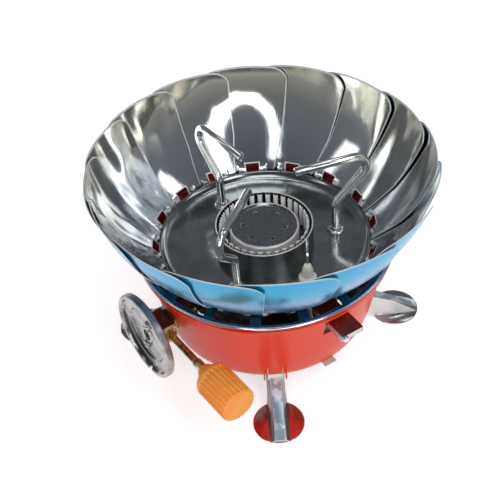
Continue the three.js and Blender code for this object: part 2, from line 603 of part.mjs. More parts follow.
const adaptor = cut(
  toSolid(alongX(turned([
    [1.8, ADAPTOR_X], [19, ADAPTOR_X], [ADAPTOR_R - 1, ADAPTOR_X + 0.6], [ADAPTOR_R, ADAPTOR_X + 1.4],
    [ADAPTOR_R, ADAPTOR_FACE - 0.6], [ADAPTOR_R - 0.6, ADAPTOR_FACE], [ADAPTOR_R - 2.4, ADAPTOR_FACE],
    [ADAPTOR_R - 3.2, ADAPTOR_FACE - 2], [ADAPTOR_R - 9, ADAPTOR_FACE - 2.4], [ADAPTOR_R - 10.2, ADAPTOR_FACE - 3.8],
    [5.4, ADAPTOR_FACE - 3.8], [5, ADAPTOR_FACE - 2.8], [3.6, ADAPTOR_FACE - 2.8], [3.6, ADAPTOR_FACE - 4.8], [1.8, ADAPTOR_FACE - 4.8],
  ], 36)).translate(0, 0, GAS_Z)),
  alongX(rod(2.6, ADAPTOR_FACE - 3, ADAPTOR_FACE + 1, 16)).translate(0, 3, GAS_Z - ADAPTOR_R + 0.6),
);
add('adaptor_disc', adaptor, 'cast', gas);

add('cartridge_seal', alongX(turned([
  [1.4, ADAPTOR_FACE - 4.77], [3.57, ADAPTOR_FACE - 4.77], [3.57, ADAPTOR_FACE - 3.3], [1.4, ADAPTOR_FACE - 3.3],
], 16)).translate(0, 0, GAS_Z), 'rubber', gas);

for (const [n, s] of [[1, 1], [2, -1]]) {
  const head = cut(
    toSolid(alongX(spindle([
      [0, ADAPTOR_FACE - 3.77], [2.7, ADAPTOR_FACE - 3.77], [2.7, ADAPTOR_FACE - 2.6], [1.9, ADAPTOR_FACE - 1.8], [0, ADAPTOR_FACE - 1.6],
    ], 20))),
    block(ADAPTOR_FACE - 2.5, ADAPTOR_FACE, -3, 3, -0.4, 0.4),
  );
  add(`adaptor_screw_${n}`, toGeometry(head).rotateX(rad(25)).translate(0, s * 2, GAS_Z + s * 9.2), 'zinc', gas);
}

const tubePath = [[NECK_X - 6, 0, GAS_Z], [0, 0, GAS_Z], [0, 0, 29]];
const borePath = [[NECK_X - 5, 0, GAS_Z], [0, 0, GAS_Z], [0, 0, 30]];
add('mixing_tube', cut(toSolid(wire(tubePath, 5.5, 9, 12)), wire(borePath, 4.7, 9, 12)), 'zinc', gas);

add('jet', alongX(turned([
  [0.5, NECK_X - 8], [2.2, NECK_X - 8], [2.2, NECK_X - 3], [4, NECK_X - 3], [4, NECK_X - FIT], [0.5, NECK_X - FIT],
], 16)).translate(0, 0, GAS_Z), 'brass', gas);

// Igniter: a lever plate outside the body presses the piezo unit inside it.

const igniter = side(IGNITER_AZIMUTH);
const BRACKET_Z = FLOOR_SHEET + FIT + 0.01;
const cheekOutline = [
  [BRACKET_BACK_X, BRACKET_Z], [BRACKET_FRONT_X, BRACKET_Z], [BRACKET_FRONT_X + 2.4, 14], [BRACKET_FRONT_X - 2.2, 20],
  [LEVER_PIN[0] + 4, LEVER_PIN[1] + 4], [LEVER_PIN[0] - 3, LEVER_PIN[1] + 4], [BRACKET_BACK_X, LEVER_PIN[1] - 0.4],
];
add('igniter_bracket', cut(
  join(
    cheek(cheekOutline, BRACKET_HALF, BRACKET_HALF + BRACKET_SHEET),
    cheek(cheekOutline, -BRACKET_HALF - BRACKET_SHEET, -BRACKET_HALF),
    block(
      BRACKET_BACK_X, BRACKET_FRONT_X, -BRACKET_HALF - BRACKET_SHEET, BRACKET_HALF + BRACKET_SHEET,
      BRACKET_Z, BRACKET_Z + BRACKET_SHEET + 0.06,
    ),
    block(BRACKET_FOOT_X, BRACKET_FOOT_X + BRACKET_SHEET, ...BRACKET_FOOT_Y, BASE_Z - BRACKET_SHEET - 0.1, BRACKET_Z + BRACKET_SHEET / 2),
    block(BRACKET_FOOT_X, BRACKET_FRONT_X - 0.2, ...BRACKET_FOOT_Y, BASE_Z - BRACKET_SHEET - 0.1, BASE_Z - 0.05),
  ),
  crossBore(1.3, LEVER_PIN),
), 'steel', igniter);

const LEVER_BACK_X = LEVER_PIN[0] - 2.6;
const flangeOutline = [
  [LEVER_BACK_X, LEVER_PIN[1] - 2.4], [LEVER_PIN[0] + 2.5, LEVER_PIN[1] - 2.4], [LEVER_PIN[0] + 16, LEVER_TOP_Z - 4],
  [LEVER_END_X - 0.6, LEVER_TOP_Z - 4], [LEVER_END_X - 0.6, LEVER_TOP_Z - 0.1], [LEVER_BACK_X, LEVER_TOP_Z - 0.1],
];
add('igniter_lever', cut(
  join(
    block(LEVER_BACK_X, LEVER_END_X, -LEVER_HALF, LEVER_HALF, LEVER_TOP_Z - 0.8, LEVER_TOP_Z),
    cheek(flangeOutline, -LEVER_HALF, -LEVER_HALF + 0.8),
    cheek(flangeOutline, LEVER_HALF - 0.8, LEVER_HALF),
    block(LEVER_END_X - 0.8, LEVER_END_X, -LEVER_HALF, LEVER_HALF, LEVER_TOP_Z - 3, LEVER_TOP_Z - 0.1),
  ),
  crossBore(1.3, LEVER_PIN),
), 'steel', igniter);
add('lever_rivet', alongX(spindle([
  [0, LEVER_END_X + 0.03], [1.9, LEVER_END_X + 0.03], [1.9, LEVER_END_X + 1], [1.2, LEVER_END_X + 1.6], [0, LEVER_END_X + 1.8],
])).translate(0, -5, LEVER_TOP_Z - 2), 'steel', igniter);
add('lever_pin', rivet(1.25, 2.1, BRACKET_HALF + BRACKET_SHEET + 0.05, 0.9, LEVER_PIN), 'zinc', igniter);

add('piezo_body', cut(
  toSolid(block(PIEZO_X - 4.8, PIEZO_X + 2.6, -4.6, 4.6, 1.74, 22)),
  rod(2.56, 14, 30).translate(PIEZO_X - 1, 0, 0),
), 'ceramic', igniter);
add('piezo_plunger', spindle([
  [0, 16.2], [2.5, 16.2], [2.5, 26.6], [2, 28], [0, 29.5],
]).translate(PIEZO_X - 1, 0, 0), 'black', igniter);

// Spark electrode beside the burner, and its lead to the piezo unit.

add('electrode_insulator', spindle([
  [0, 31], [2.8, 31], [2.8, PLATE_Z + 0.03], [5.2, PLATE_Z + 0.03], [5.2, PLATE_Z + 3.4], [3.6, PLATE_Z + 4.6],
  [3, PLATE_Z + 9.6], [1.9, PLATE_Z + 12.4], [0, PLATE_Z + 12.4],
]).translate(ELECTRODE_X, 0, 0), 'ceramic', igniter);
add('electrode_wire', wire([
  [ELECTRODE_X, 0, PLATE_Z + 12.43], [ELECTRODE_X, 0, 56], [33.5, 7, 56],
], 0.8, 2.5, 8), 'wire', igniter);
add('ignition_lead', wire([
  [ELECTRODE_X, 0, 30.97], [ELECTRODE_X, 0, 12], [PIEZO_X - 4.83, 0, 12],
], 1.1, 5, 8), 'black', igniter);

export default stove;
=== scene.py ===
# %% [markdown]
# # A folding camping gas stove
# The stove is a red enamelled pan on three folding legs. A round burner sits in
# a bowl of sixteen sheet-steel petals, and three bent wires carry the pot. This
# lesson dresses the CAD model: the CAD says where every piece is and how it
# moves, and Blender adds the fine shapes and the finishes.

# %% Load the CAD frame
import json
import math
import bmesh
import bpy
from mathutils import Matrix, Vector


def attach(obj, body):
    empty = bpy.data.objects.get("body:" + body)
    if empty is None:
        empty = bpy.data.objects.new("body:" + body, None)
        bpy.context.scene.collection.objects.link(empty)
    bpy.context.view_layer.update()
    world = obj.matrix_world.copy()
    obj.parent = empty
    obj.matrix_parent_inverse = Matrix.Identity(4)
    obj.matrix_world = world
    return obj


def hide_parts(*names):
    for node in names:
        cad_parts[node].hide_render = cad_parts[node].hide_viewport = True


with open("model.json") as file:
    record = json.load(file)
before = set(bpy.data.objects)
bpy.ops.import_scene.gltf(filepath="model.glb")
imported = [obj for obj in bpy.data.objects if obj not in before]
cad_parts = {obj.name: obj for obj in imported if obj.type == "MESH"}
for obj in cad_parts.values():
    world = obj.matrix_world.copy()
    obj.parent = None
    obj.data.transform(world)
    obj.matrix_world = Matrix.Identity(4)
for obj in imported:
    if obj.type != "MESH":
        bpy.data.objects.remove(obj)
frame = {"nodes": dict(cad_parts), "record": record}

scene = bpy.context.scene
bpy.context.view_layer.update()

# %% [markdown]
# ## Sizes in millimetres
# Drawings of sheet-metal goods are in millimetres and Blender works in metres.
# One constant converts, so every number below can be read as on a drawing.
# The directions that several pieces share are kept here too, in degrees round
# the burner: the legs, the gas side and the igniter. Another constant turns
# degrees into radians inside node trees.

# %% Units, directions and colours
MM = 0.001
DEGREE = math.pi / 180
LEGS = {"front": 270.5, "right": 3.5, "left": 177.5}
GAS_AZIMUTH, GAS_Z = 214, 11.8
IGNITER_AZIMUTH = 300.5
LEG_HALF_WEB = 4.4


def srgb(red, green, blue):
    """A colour as a screen shows it, turned into the linear light of a shader."""
    def linear(value):
        value /= 255
        return value / 12.92 if value <= 0.04045 else ((value + 0.055) / 1.055) ** 2.4
    return (linear(red), linear(green), linear(blue), 1.0)


print("enamel red in linear light:", [round(x, 3) for x in srgb(240, 68, 40)])

# %% [markdown]
# ## Node maths as Python
# A node tree is a formula. Wrapping one socket in a small class that knows +,
# -, * and / lets a formula be written as a formula, in shader trees and in
# geometry trees alike. Every other node comes from one method that takes the
# node's type, its settings and the values of its sockets.

# %% One value in a node tree
class Field:
    """One output socket that can be used in Python expressions."""

    def __init__(self, graph, socket):
        self.graph, self.socket = graph, socket

    def math(self, operation, *parts):
        """A Math node on this field and others."""
        return self.graph.add("ShaderNodeMath", {"operation": operation}, dict(enumerate(parts)))

    def __add__(self, other): return self.math("ADD", self, other)
    def __radd__(self, other): return self.math("ADD", other, self)
    def __sub__(self, other): return self.math("SUBTRACT", self, other)
    def __rsub__(self, other): return self.math("SUBTRACT", other, self)
    def __mul__(self, other): return self.math("MULTIPLY", self, other)
    def __rmul__(self, other): return self.math("MULTIPLY", other, self)
    def __truediv__(self, other): return self.math("DIVIDE", self, other)
    def __rtruediv__(self, other): return self.math("DIVIDE", other, self)
    def __pow__(self, other): return self.math("POWER", self, other)
    def __neg__(self): return self.math("MULTIPLY", self, -1.0)
    def __gt__(self, other): return self.math("GREATER_THAN", self, other)
    def __lt__(self, other): return self.math("LESS_THAN", self, other)
    def __abs__(self): return self.math("ABSOLUTE", self)

    def sin(self): return self.math("SINE", self)
    def cos(self): return self.math("COSINE", self)
    def low(self, other): return self.math("MINIMUM", self, other)
    def high(self, other): return self.math("MAXIMUM", self, other)

    def band(self, start, end):
        """0 before start, 1 after end, and a soft step between them."""
        return self.graph.add("ShaderNodeMapRange", {"interpolation_type": "SMOOTHSTEP"}, {
            "Value": self, "From Min": start, "From Max": end, "To Min": 0.0, "To Max": 1.0})

    def output(self, name):
        """Another output of the same node."""
        return Field(self.graph, find_socket(self.socket.node.outputs, name))


def find_socket(sockets, key):
    """The socket with a number, or the one in use with a name."""
    if isinstance(key, int):
        return sockets[key]
    return next(s for s in sockets if s.name == key and s.enabled)


print("sums of fields ready")


# %% The tree and its nodes
class Graph:
    """A node tree and the one method that adds nodes to it."""

    def __init__(self, tree):
        self.tree = tree

    def add(self, kind, settings=None, inputs=None, output=None):
        """Adds a node, sets it, links or fills its sockets, and returns one of its outputs."""
        node = self.tree.nodes.new(kind)
        for name, value in (settings or {}).items():
            if name == "stops":
                ramp = node.color_ramp
                while len(ramp.elements) < len(value):
                    ramp.elements.new(0.5)
                for element, (place, colour) in zip(ramp.elements, value):
                    element.position, element.color = place, colour
            else:
                setattr(node, name, value)
        for key, value in (inputs or {}).items():
            socket = find_socket(node.inputs, key)
            if isinstance(value, Field):
                self.tree.links.new(value.socket, socket)
            elif isinstance(value, list):
                for one in value:
                    self.tree.links.new(one.socket, socket)
            else:
                socket.default_value = value
        enabled = [s for s in node.outputs if s.enabled]
        if not enabled:
            return node
        return Field(self, find_socket(node.outputs, output) if output is not None else enabled[0])

    def mix(self, factor, first, second):
        """A colour between two colours."""
        return self.add("ShaderNodeMix", {"data_type": "RGBA"}, {"Factor": factor, "A": first, "B": second})

    def vector(self, x, y, z):
        """A vector from three numbers or fields."""
        return self.add("ShaderNodeCombineXYZ", {}, {"X": x, "Y": y, "Z": z})


print("node trees ready")

# %% [markdown]
# ## Camera
# The photograph was taken from about 42 degrees above the table with a long
# lens, and the camera was rolled a few degrees. The camera is built from three
# directions: right, up, and back from the target. Its focal length was fitted in
# pixels, and the photograph is 500 pixels wide.

# %% Place the camera
CAMERA_DISTANCE = 594.4
SENSOR_WIDTH, FOCAL_PIXELS, PHOTO_PIXELS = 36, 1007.5, 500

target = Vector((-8.8, 0, 36.7)) * MM
elevation, roll = math.radians(42), math.radians(-3.9)
back = Vector((0, -math.cos(elevation), math.sin(elevation)))
level_right = Vector((1, 0, 0))
level_up = back.cross(level_right)
right = level_right * math.cos(roll) + level_up * math.sin(roll)
up = level_up * math.cos(roll) - level_right * math.sin(roll)

camera_data = bpy.data.cameras.new("camera")
camera_data.sensor_fit, camera_data.sensor_width = "HORIZONTAL", SENSOR_WIDTH
camera_data.lens = SENSOR_WIDTH * FOCAL_PIXELS / PHOTO_PIXELS
camera_data.clip_start, camera_data.clip_end = 0.01, 20
camera = bpy.data.objects.new("camera", camera_data)
placing = Matrix((right, up, back)).transposed().to_4x4()
placing.translation = target + back * CAMERA_DISTANCE * MM
camera.matrix_world = placing
scene.collection.objects.link(camera)
scene.camera = camera
print("lens", round(camera_data.lens, 2), "mm, distance", CAMERA_DISTANCE, "mm")

# %% [markdown]
# ## Studio
# A polished object shows the room more than itself. The room here is a white
# floor, a wall that darkens towards the ceiling, an arch of softboxes in front,
# and four single softboxes: left, right, behind and above. The arch is the
# bright hoop that the back petals show. The ceiling is dark on purpose: steel
# between a white floor and a dark ceiling gets the hard light and dark streaks
# that make it look like metal. Only reflections see that wall. For matt surfaces
# the room is one plain grey, and straight from the camera it is white.

# %% Floor
FLOOR_Z, FLOOR_EDGE = -35.3 * MM, 3.0


def new_material(name):
    """An empty material and the graph that fills it."""
    material = bpy.data.materials.new(name)
    material.use_nodes = True
    material.node_tree.nodes.clear()
    return material, Graph(material.node_tree)


floor_material, g = new_material("studio_floor")
path = g.add("ShaderNodeLightPath", output="Is Camera Ray")
seen = (path + path.output("Is Glossy Ray") + path.output("Is Transmission Ray")).low(1.0)
matte = g.add("ShaderNodeBsdfDiffuse", {}, {"Color": (0.86, 0.86, 0.87, 1)})
glow = g.add("ShaderNodeEmission", {}, {"Color": (1, 1, 1, 1), "Strength": seen * 0.56})
both = g.add("ShaderNodeAddShader", {}, {0: matte, 1: glow})
g.add("ShaderNodeOutputMaterial", {}, {"Surface": both})

floor_mesh = bpy.data.meshes.new("studio_floor")
corners = [(-1, -1), (1, -1), (1, 1), (-1, 1)]
floor_mesh.from_pydata([(x * FLOOR_EDGE, y * FLOOR_EDGE, FLOOR_Z) for x, y in corners], [], [(0, 1, 2, 3)])
floor_mesh.materials.append(floor_material)
floor = bpy.data.objects.new("studio_floor", floor_mesh)
scene.collection.objects.link(floor)
print("floor at", round(FLOOR_Z / MM, 1), "mm")

# %% Room
world = bpy.data.worlds.new("room")
scene.world = world
world.use_nodes = True
world.node_tree.nodes.clear()
g = Graph(world.node_tree)
direction = g.add("ShaderNodeTexCoord", output="Generated")
height = g.add("ShaderNodeSeparateXYZ", {}, {"Vector": direction}, output="Z")
path = g.add("ShaderNodeLightPath", output="Is Glossy Ray")
room = g.add("ShaderNodeValToRGB", {"stops": [
    (0.0, (0.50, 0.50, 0.50, 1)), (0.08, (0.28, 0.28, 0.29, 1)), (0.25, (0.17, 0.178, 0.19, 1)),
    (0.60, (0.14, 0.148, 0.163, 1)), (1.0, (0.06, 0.063, 0.072, 1))]}, {"Fac": height}, output="Color")
plain = (0.42, 0.42, 0.43, 1)
colour = g.mix(path, plain, room)
colour = g.mix(path.output("Is Camera Ray"), colour, (1, 1, 1, 1))
background = g.add("ShaderNodeBackground", {}, {"Color": colour, "Strength": 1.0})
g.add("ShaderNodeOutputWorld", {}, {"Surface": background})
print("room nodes:", len(world.node_tree.nodes))


# %% Softboxes
def toward(azimuth, lift):
    """The direction of a place in the studio, from its azimuth and its height in degrees."""
    a, e = math.radians(azimuth), math.radians(lift)
    return Vector((math.cos(a) * math.cos(e), math.sin(a) * math.cos(e), math.sin(e)))


def strip_lamp(name, start, end, width, radiance, colour=(1, 1, 1), distance=1.3):
    """A long softbox between two directions, facing the burner."""
    first, second = toward(*start) * distance, toward(*end) * distance
    length = (second - first).length + width * 0.4
    data = bpy.data.lights.new(name, "AREA")
    data.shape, data.size, data.size_y = "RECTANGLE", length, width
    data.energy, data.color = radiance * length * width * math.pi, colour
    lamp = bpy.data.objects.new(name, data)
    away = ((first + second) / 2).normalized()
    across = ((second - first) - away * (second - first).dot(away)).normalized()
    turned = Matrix((across, away.cross(across), away)).transposed().to_4x4()
    turned.translation = away * distance
    lamp.matrix_world = turned
    scene.collection.objects.link(lamp)


ARCH = [(-48, 64), (-52, 50), (-58, 37), (-69, 27), (-82, 22), (-95, 23), (-105, 30), (-111, 41), (-114, 54)]
ARCH_WIDTHS = (0.30, 0.28, 0.26, 0.22, 0.18, 0.16, 0.15, 0.14)
for i, (start, end, width) in enumerate(zip(ARCH, ARCH[1:], ARCH_WIDTHS), 1):
    strip_lamp(f"arch_softbox_{i}", start, end, width, 3.2)
strip_lamp("left_softbox", (-176, 24), (-168, 60), 0.09, 2.4, (1, 0.97, 0.9))
strip_lamp("right_softbox", (4, 24), (-6, 60), 0.11, 2.6, (1, 0.95, 0.86))
strip_lamp("back_softbox", (74, 60), (96, 60), 0.14, 3.0)
strip_lamp("top_softbox", (-90, 84), (90, 78), 0.30, 2.0, (0.9, 0.96, 1))

# %% [markdown]
# ## Finishes: what every finish shares
# Real surfaces are never even. Each finish below starts from a base shader and
# adds three things at the scale of the real one: a slow change of tone, a fine
# grain in the roughness, and a relief that bends the reflections. All patterns
# read object coordinates, which stay with the piece when it moves.

# %% Helpers for finishes
def new_finish(name):
    """A material, its graph, and the point on the piece in millimetres as x, y and z."""
    material, g = new_material(name)
    point = g.add("ShaderNodeTexCoord", output="Object")
    parts = g.add("ShaderNodeSeparateXYZ", {}, {"Vector": point})
    return material, g, *(parts.output(axis) * 1000.0 for axis in "XYZ")


def attribute(g, name):
    """A number that the mesh itself carries."""
    return g.add("ShaderNodeAttribute", {"attribute_name": name}, output="Fac")


def noise(g, x, y, z, scale=1.0, detail=2.0, roughness=0.5):
    """Smooth noise around 0.5 over a point in millimetres."""
    return g.add("ShaderNodeTexNoise", {"noise_dimensions": "3D"}, {
        "Vector": g.vector(x, y, z), "Scale": scale, "Detail": detail, "Roughness": roughness}, output="Fac")


def around(g, x, y):
    """Radius in millimetres, and the angle about the burner in radians."""
    radius = (x * x + y * y) ** 0.5
    return radius, g.add("ShaderNodeMath", {"operation": "ARCTAN2"}, {0: y, 1: x})


def finish(g, bump=None, strength=0.3, distance=0.2, **sockets):
    """The shader itself, with a relief whose height is given in parts of the distance."""
    names = {"colour": "Base Color", "metallic": "Metallic", "rough": "Roughness", "coat": "Coat Weight",
             "coat_rough": "Coat Roughness", "coat_ior": "Coat IOR", "specular": "Specular IOR Level"}
    inputs = {names[name]: value for name, value in sockets.items()}
    if bump is not None:
        inputs["Normal"] = g.add("ShaderNodeBump", {}, {
            "Strength": strength, "Distance": distance * MM, "Height": bump})
    shader = g.add("ShaderNodeBsdfPrincipled", {}, inputs)
    g.add("ShaderNodeOutputMaterial", {}, {"Surface": shader})


print("helpers for finishes ready")

# %% [markdown]
# ## Red enamel
# The pan is painted with a glossy stove enamel. Paint flows before it hardens,
# which leaves a faint orange-peel relief. A clear coat over a saturated red gives
# the sharp reflection over a deep colour. Two pressed edges run down to each leg,
# and a pale painted highlight runs along them. The last two millimetres under the
# rolled edge are painted dark, a painted shade for the gap there.

# %% Material: red enamel
enamel, g, x, y, z = new_finish("red_enamel")
tone = noise(g, x, y, z, 0.03, 3.0)
peel = noise(g, x, y, z, 0.55, 2.0)
dust = noise(g, x, y, z, 3.0, 2.0)
red = g.mix(tone, srgb(240, 68, 40), srgb(246, 79, 51))
# Painted highlight: pale lines along the two pressed edges over each leg.
ridge_highlight = 0.0
for azimuth in LEGS.values():
    ux, uy = math.cos(math.radians(azimuth)), math.sin(math.radians(azimuth))
    beside = abs(abs(y * ux - x * uy) - LEG_HALF_WEB)
    ridge_highlight = (1.0 - beside.band(0.15, 0.75)) * (x * ux + y * uy).band(50.0, 52.0) + ridge_highlight
red = g.mix(ridge_highlight * (1.0 - z.band(-11.0, -3.0)) * 0.8, red, srgb(255, 176, 158))
# Painted shade: the top of the wall under the rolled edge is darkened for the gap there.
red = g.mix(z.band(35.9, 36.3), red, srgb(26, 14, 14))
finish(g, colour=red, rough=0.30 + dust * 0.10, specular=0.12, coat=0.25 - dust * 0.08, coat_rough=0.16,
       coat_ior=1.45, bump=peel, strength=0.10, distance=0.25)
print("enamel nodes:", len(g.tree.nodes))

# %% [markdown]
# ## Petal steel and its blue film
# The petals are mirror-bright strip steel, and their outsides still carry the
# blue film that protects them in the press. The sheet was rolled along the
# petal, so its grain runs from foot to tip. Thin sheet is never quite flat: the
# petals at the sides are dented and pulled into long waves, and those make the
# reflections flow. The petals carry three attributes: how far across, how far
# along, and which face, and the finish follows them.

# %% Material: windshield petals, relief
petal_steel, g, x, y, z = new_finish("petal_steel_and_film")
radius, angle = around(g, x, y)
across, along, outer = (attribute(g, name) for name in ("across", "along", "outer"))
bare_side = 1.0 - outer
grain = noise(g, angle * 420.0, z * 0.06, radius * 0.02, 1.0, 3.0, 0.6)
wave = noise(g, x, y, z, 0.022, 1.5)
smudge = noise(g, x, y, z, 0.12, 3.0)
dented = 0.3 + abs(x).band(10.0, 65.0) * 0.7 + (-x).band(25.0, 70.0) * 2.2
dent = noise(g, angle * 60.0, z * 0.45, radius * 0.45, 0.07, 0.6) * dented
dent = dent + noise(g, angle * 60.0, z * 0.25, 0.0, 0.13, 0.0) * (-x).band(30.0, 70.0) * 0.5
pulled = x.band(25.0, 70.0) * 7.0 + (-x).band(40.0, 80.0) * 3.5
streak = noise(g, angle * 60.0, z * 0.06, radius * 0.06, 0.11, 0.0) * pulled
relief = dent * (2.0 + along * 4.0) + streak * (0.35 + along * 0.65)
print("relief nodes:", len(g.tree.nodes))

# %% Material: windshield petals, colours
# Painted reflection: the bare steel is tinted warm towards the tip, for the cream reflections there.
bare_and_warm_reflection = g.mix(along.band(0.3, 0.9), srgb(214, 219, 226), srgb(224, 222, 210))
film_low = g.mix(along.band(0.02, 0.34), srgb(172, 128, 168), srgb(100, 162, 206))
film = g.mix(along.band(0.30, 0.80), film_low, srgb(18, 162, 208))
film = g.mix(smudge.band(0.55, 0.8) * 0.35, film, srgb(110, 160, 200))
# Painted shade: the film is darkened where the neighbouring petal covers this one.
covered_shade = 1.0 - across.band(-0.9, -0.72)
film = g.mix(covered_shade, film, srgb(16, 24, 32))
# Painted highlight: bright lines along the petal's edges and round its window frame.
rim_highlight = (abs(across).band(0.965, 0.985)).high(along.band(0.978, 0.990)) * (1.0 - outer * 0.8)
window_edge_highlight = (1.0 - abs(across).band(0.332, 0.348)) * (1.0 - along.band(0.062, 0.068))
rim_highlight = rim_highlight.high(window_edge_highlight * bare_side)
colour = g.mix(rim_highlight, g.mix(outer, bare_and_warm_reflection, film), srgb(236, 238, 240))
rough = 0.035 + grain * bare_side * 0.05 + smudge * 0.03 + outer * 0.17 + rim_highlight * 0.4
finish(g, colour=colour, metallic=1.0 - outer * (1.0 - rim_highlight) * 0.45 - rim_highlight * 0.5, rough=rough,
       bump=grain * bare_side * 0.06 + wave * 5.0 + relief * bare_side, strength=0.6, distance=0.25)
print("petal finish nodes:", len(g.tree.nodes))

# %% [markdown]
# ## Polished plate with a teal rim
# The burner plate is one stamping. Inside its shoulder it is polished like a
# mirror, with turned marks from the polishing wheel. The slotted slope outside
# the shoulder keeps its film, dark teal, and so does the flange, except at the
# back, where it carries a painted reflection of the pan's red. The rolled edge is
# bare on top and enamelled outside. The radii below are those of the plate's
# profile: the slope runs from 62.5 to 69.8 mm, the flange to 73.4 and the rolled edge to 76.

# %% Material: burner plate
plate_steel, g, x, y, z = new_finish("plate_steel")
radius, angle = around(g, x, y)
rings = noise(g, radius * 1.6, 0.0, 0.0, 1.0, 3.0, 0.6)
smudge = noise(g, x, y, z, 0.08, 3.0)
scratch = noise(g, x * 0.25 + y * 2.4, y * 0.2 - x * 0.3, z, 1.0, 2.0).band(0.66, 0.72)
polished = g.mix(smudge.band(0.3, 0.7), srgb(160, 165, 168), srgb(184, 186, 186))
teal = g.mix(smudge.band(0.35, 0.65), srgb(34, 104, 120), srgb(60, 152, 168))
filmed = radius.band(63.4, 64.0)
# Painted reflection: the flange's far side takes the pan's red, which it would reflect.
painted = radius.band(69.4, 69.8) * (1.0 - radius.band(73.0, 73.4)) * y.band(-30.0, 5.0)
outside = radius.band(75.45, 75.65) * (1.0 - z.band(38.9, 39.2))
chrome = radius.band(74.5, 74.8) * (1.0 - outside)
colour = g.mix(filmed, g.mix(radius.band(57.0, 60.5), polished, srgb(150, 153, 155)), teal)
colour = g.mix(painted, colour, srgb(150, 24, 24))
colour = g.mix(outside, colour, srgb(196, 40, 26))
colour = g.mix(chrome, colour, srgb(242, 243, 244))
painted = painted.high(outside)
finish(g, colour=colour, metallic=1.0 - painted, rough=0.08 + rings * 0.05 + smudge * 0.06 + scratch * 0.06,
       bump=(rings * 0.10 + smudge * 1.2) * (1.0 - chrome), strength=0.25, distance=0.15)
print("plate finish nodes:", len(g.tree.nodes))

# %% [markdown]
# ## Bright steel, zinc, brass and cast metal
# Five more metals come from one recipe. What tells them apart is the colour,
# how rough they are, and their grain: plated wire is smooth and a little
# cloudy, and the cast adaptor is turned, so its grain runs in rings about its
# axis, and a painted shade darkens its recess low down. The valve block is brass
# too, sawn and speckled, and its top carries a painted dark red reflection of the pan.

# %% Materials: other metals
# Painted shade for the low side of the adaptor's recess.
SHADOW = (0.075, 0.078, 0.082, 1)


def metal(name, light, dark, rough, spread, tone_scale=0.1, grain_scale=1.2, relief=0.4, strength=0.25,
          turned_about=None):
    """A metal whose tone runs between two colours; with an axis named, its grain runs in rings and its recess gets a
    painted shade low down.
    """
    material, g, x, y, z = new_finish(name)
    tone = noise(g, x, y, z, tone_scale, 3.0)
    if turned_about is None:
        grain = noise(g, x, y, z, grain_scale, 3.0, 0.6)
    else:
        ux, uy = math.cos(math.radians(turned_about)), math.sin(math.radians(turned_about))
        axial = x * ux + y * uy
        cross, rise = x * -uy + y * ux, z - GAS_Z
        out = (cross * cross + rise * rise) ** 0.5
        grain = noise(g, axial * 2.5, out * 2.5, 0.0, grain_scale, 3.0, 0.6)
        recess = out.band(16.0, 17.5) * (1.0 - out.band(23.3, 23.8))
        shaded_low_side = (cross * -0.6 - rise * 0.8).band(9.0, 14.0) * recess
        tone = tone * (1.0 - shaded_low_side) - shaded_low_side
        rough = rough + out.band(25.6, 26.2) * 0.2
    dark_and_painted_shade = g.mix(tone.band(-0.9, 0.0), SHADOW, dark)
    finish(g, colour=g.mix(tone.band(0.3, 0.7), dark_and_painted_shade, light), metallic=1.0, rough=rough + grain * spread,
           bump=grain * relief + tone, strength=strength, distance=0.12)
    return material


bright_steel = metal("bright_steel", srgb(228, 229, 231), srgb(206, 208, 212), 0.08, 0.10, 0.08)
plated_wire = metal("plated_wire", srgb(244, 246, 246), srgb(226, 230, 230), 0.14, 0.07, 0.25, relief=0.08,
                    strength=0.12)
zinc = metal("zinc_plate", srgb(196, 199, 202), srgb(160, 166, 172), 0.26, 0.18, 0.2)
brass = metal("brass", srgb(236, 214, 160), srgb(176, 146, 88), 0.22, 0.2, 0.35, 1.2, 0.6)
cast_metal = metal("cast_metal", srgb(182, 179, 178), srgb(132, 131, 133), 0.15, 0.12, 0.15, 1.0, 0.5,
                   0.3, turned_about=GAS_AZIMUTH)

valve_brass, g, x, y, z = new_finish("valve_brass")
speckle = noise(g, x, y, z, 0.9, 4.0, 0.7)
red_reflection_tone = noise(g, x, y, z, 0.3, 2.0)
colour = g.mix(speckle.band(0.35, 0.62), srgb(140, 112, 64), srgb(240, 222, 172))
# Painted reflection: the block's top takes a dark red tint, the pan's enamel that it would reflect.
red_reflection_top = z.band(17.7, 18.1)
colour = g.mix(red_reflection_top, colour, g.mix(red_reflection_tone, srgb(74, 30, 24), srgb(112, 52, 42)))
finish(g, colour=colour, metallic=0.65 - red_reflection_top * 0.15, rough=0.34 + speckle * 0.2,
       bump=speckle, strength=0.3, distance=0.1)
print("metals:", ", ".join(m.name for m in (bright_steel, plated_wire, zinc, brass, cast_metal, valve_brass)))

# %% [markdown]
# ## Leg and lever steel
# The parts of a leg carry painted light: the web on top has a painted bright bluish
# sheen between two painted highlight lines, the flanges are painted duller, faces
# turned to the front are painted lighter, and the round foot is a mirror. The front
# foot and the lever's top carry a painted reflection of the pan's red. Attributes on the mesh say which part is
# which.

# %% Materials: legs, lever and bracket
leg_steel, g, x, y, z = new_finish("leg_steel")
web, side, foot, near = (attribute(g, name) for name in ("web", "side", "foot", "near"))
tone = noise(g, x, y, z, 0.09, 3.0)
grain = noise(g, x, y, z, 1.4, 3.0)
streak = noise(g, x * 0.3, y * 0.3, z * 0.1, 0.5, 2.0)
# Painted sheen and highlights: the web is painted bright and bluish with two painted highlight lines, and the
# flanges are painted darker as shade.
web_painted_sheen = g.mix(streak.band(0.46, 0.54), srgb(166, 190, 204), srgb(230, 240, 246))
line = abs(side).band(2.9, 3.2) * (1.0 - abs(side).band(3.7, 4.0))
web_painted_sheen = g.mix(line, web_painted_sheen, srgb(252, 253, 254))
colour = g.mix(web, g.mix(tone, srgb(112, 108, 112), srgb(146, 140, 144)), web_painted_sheen)
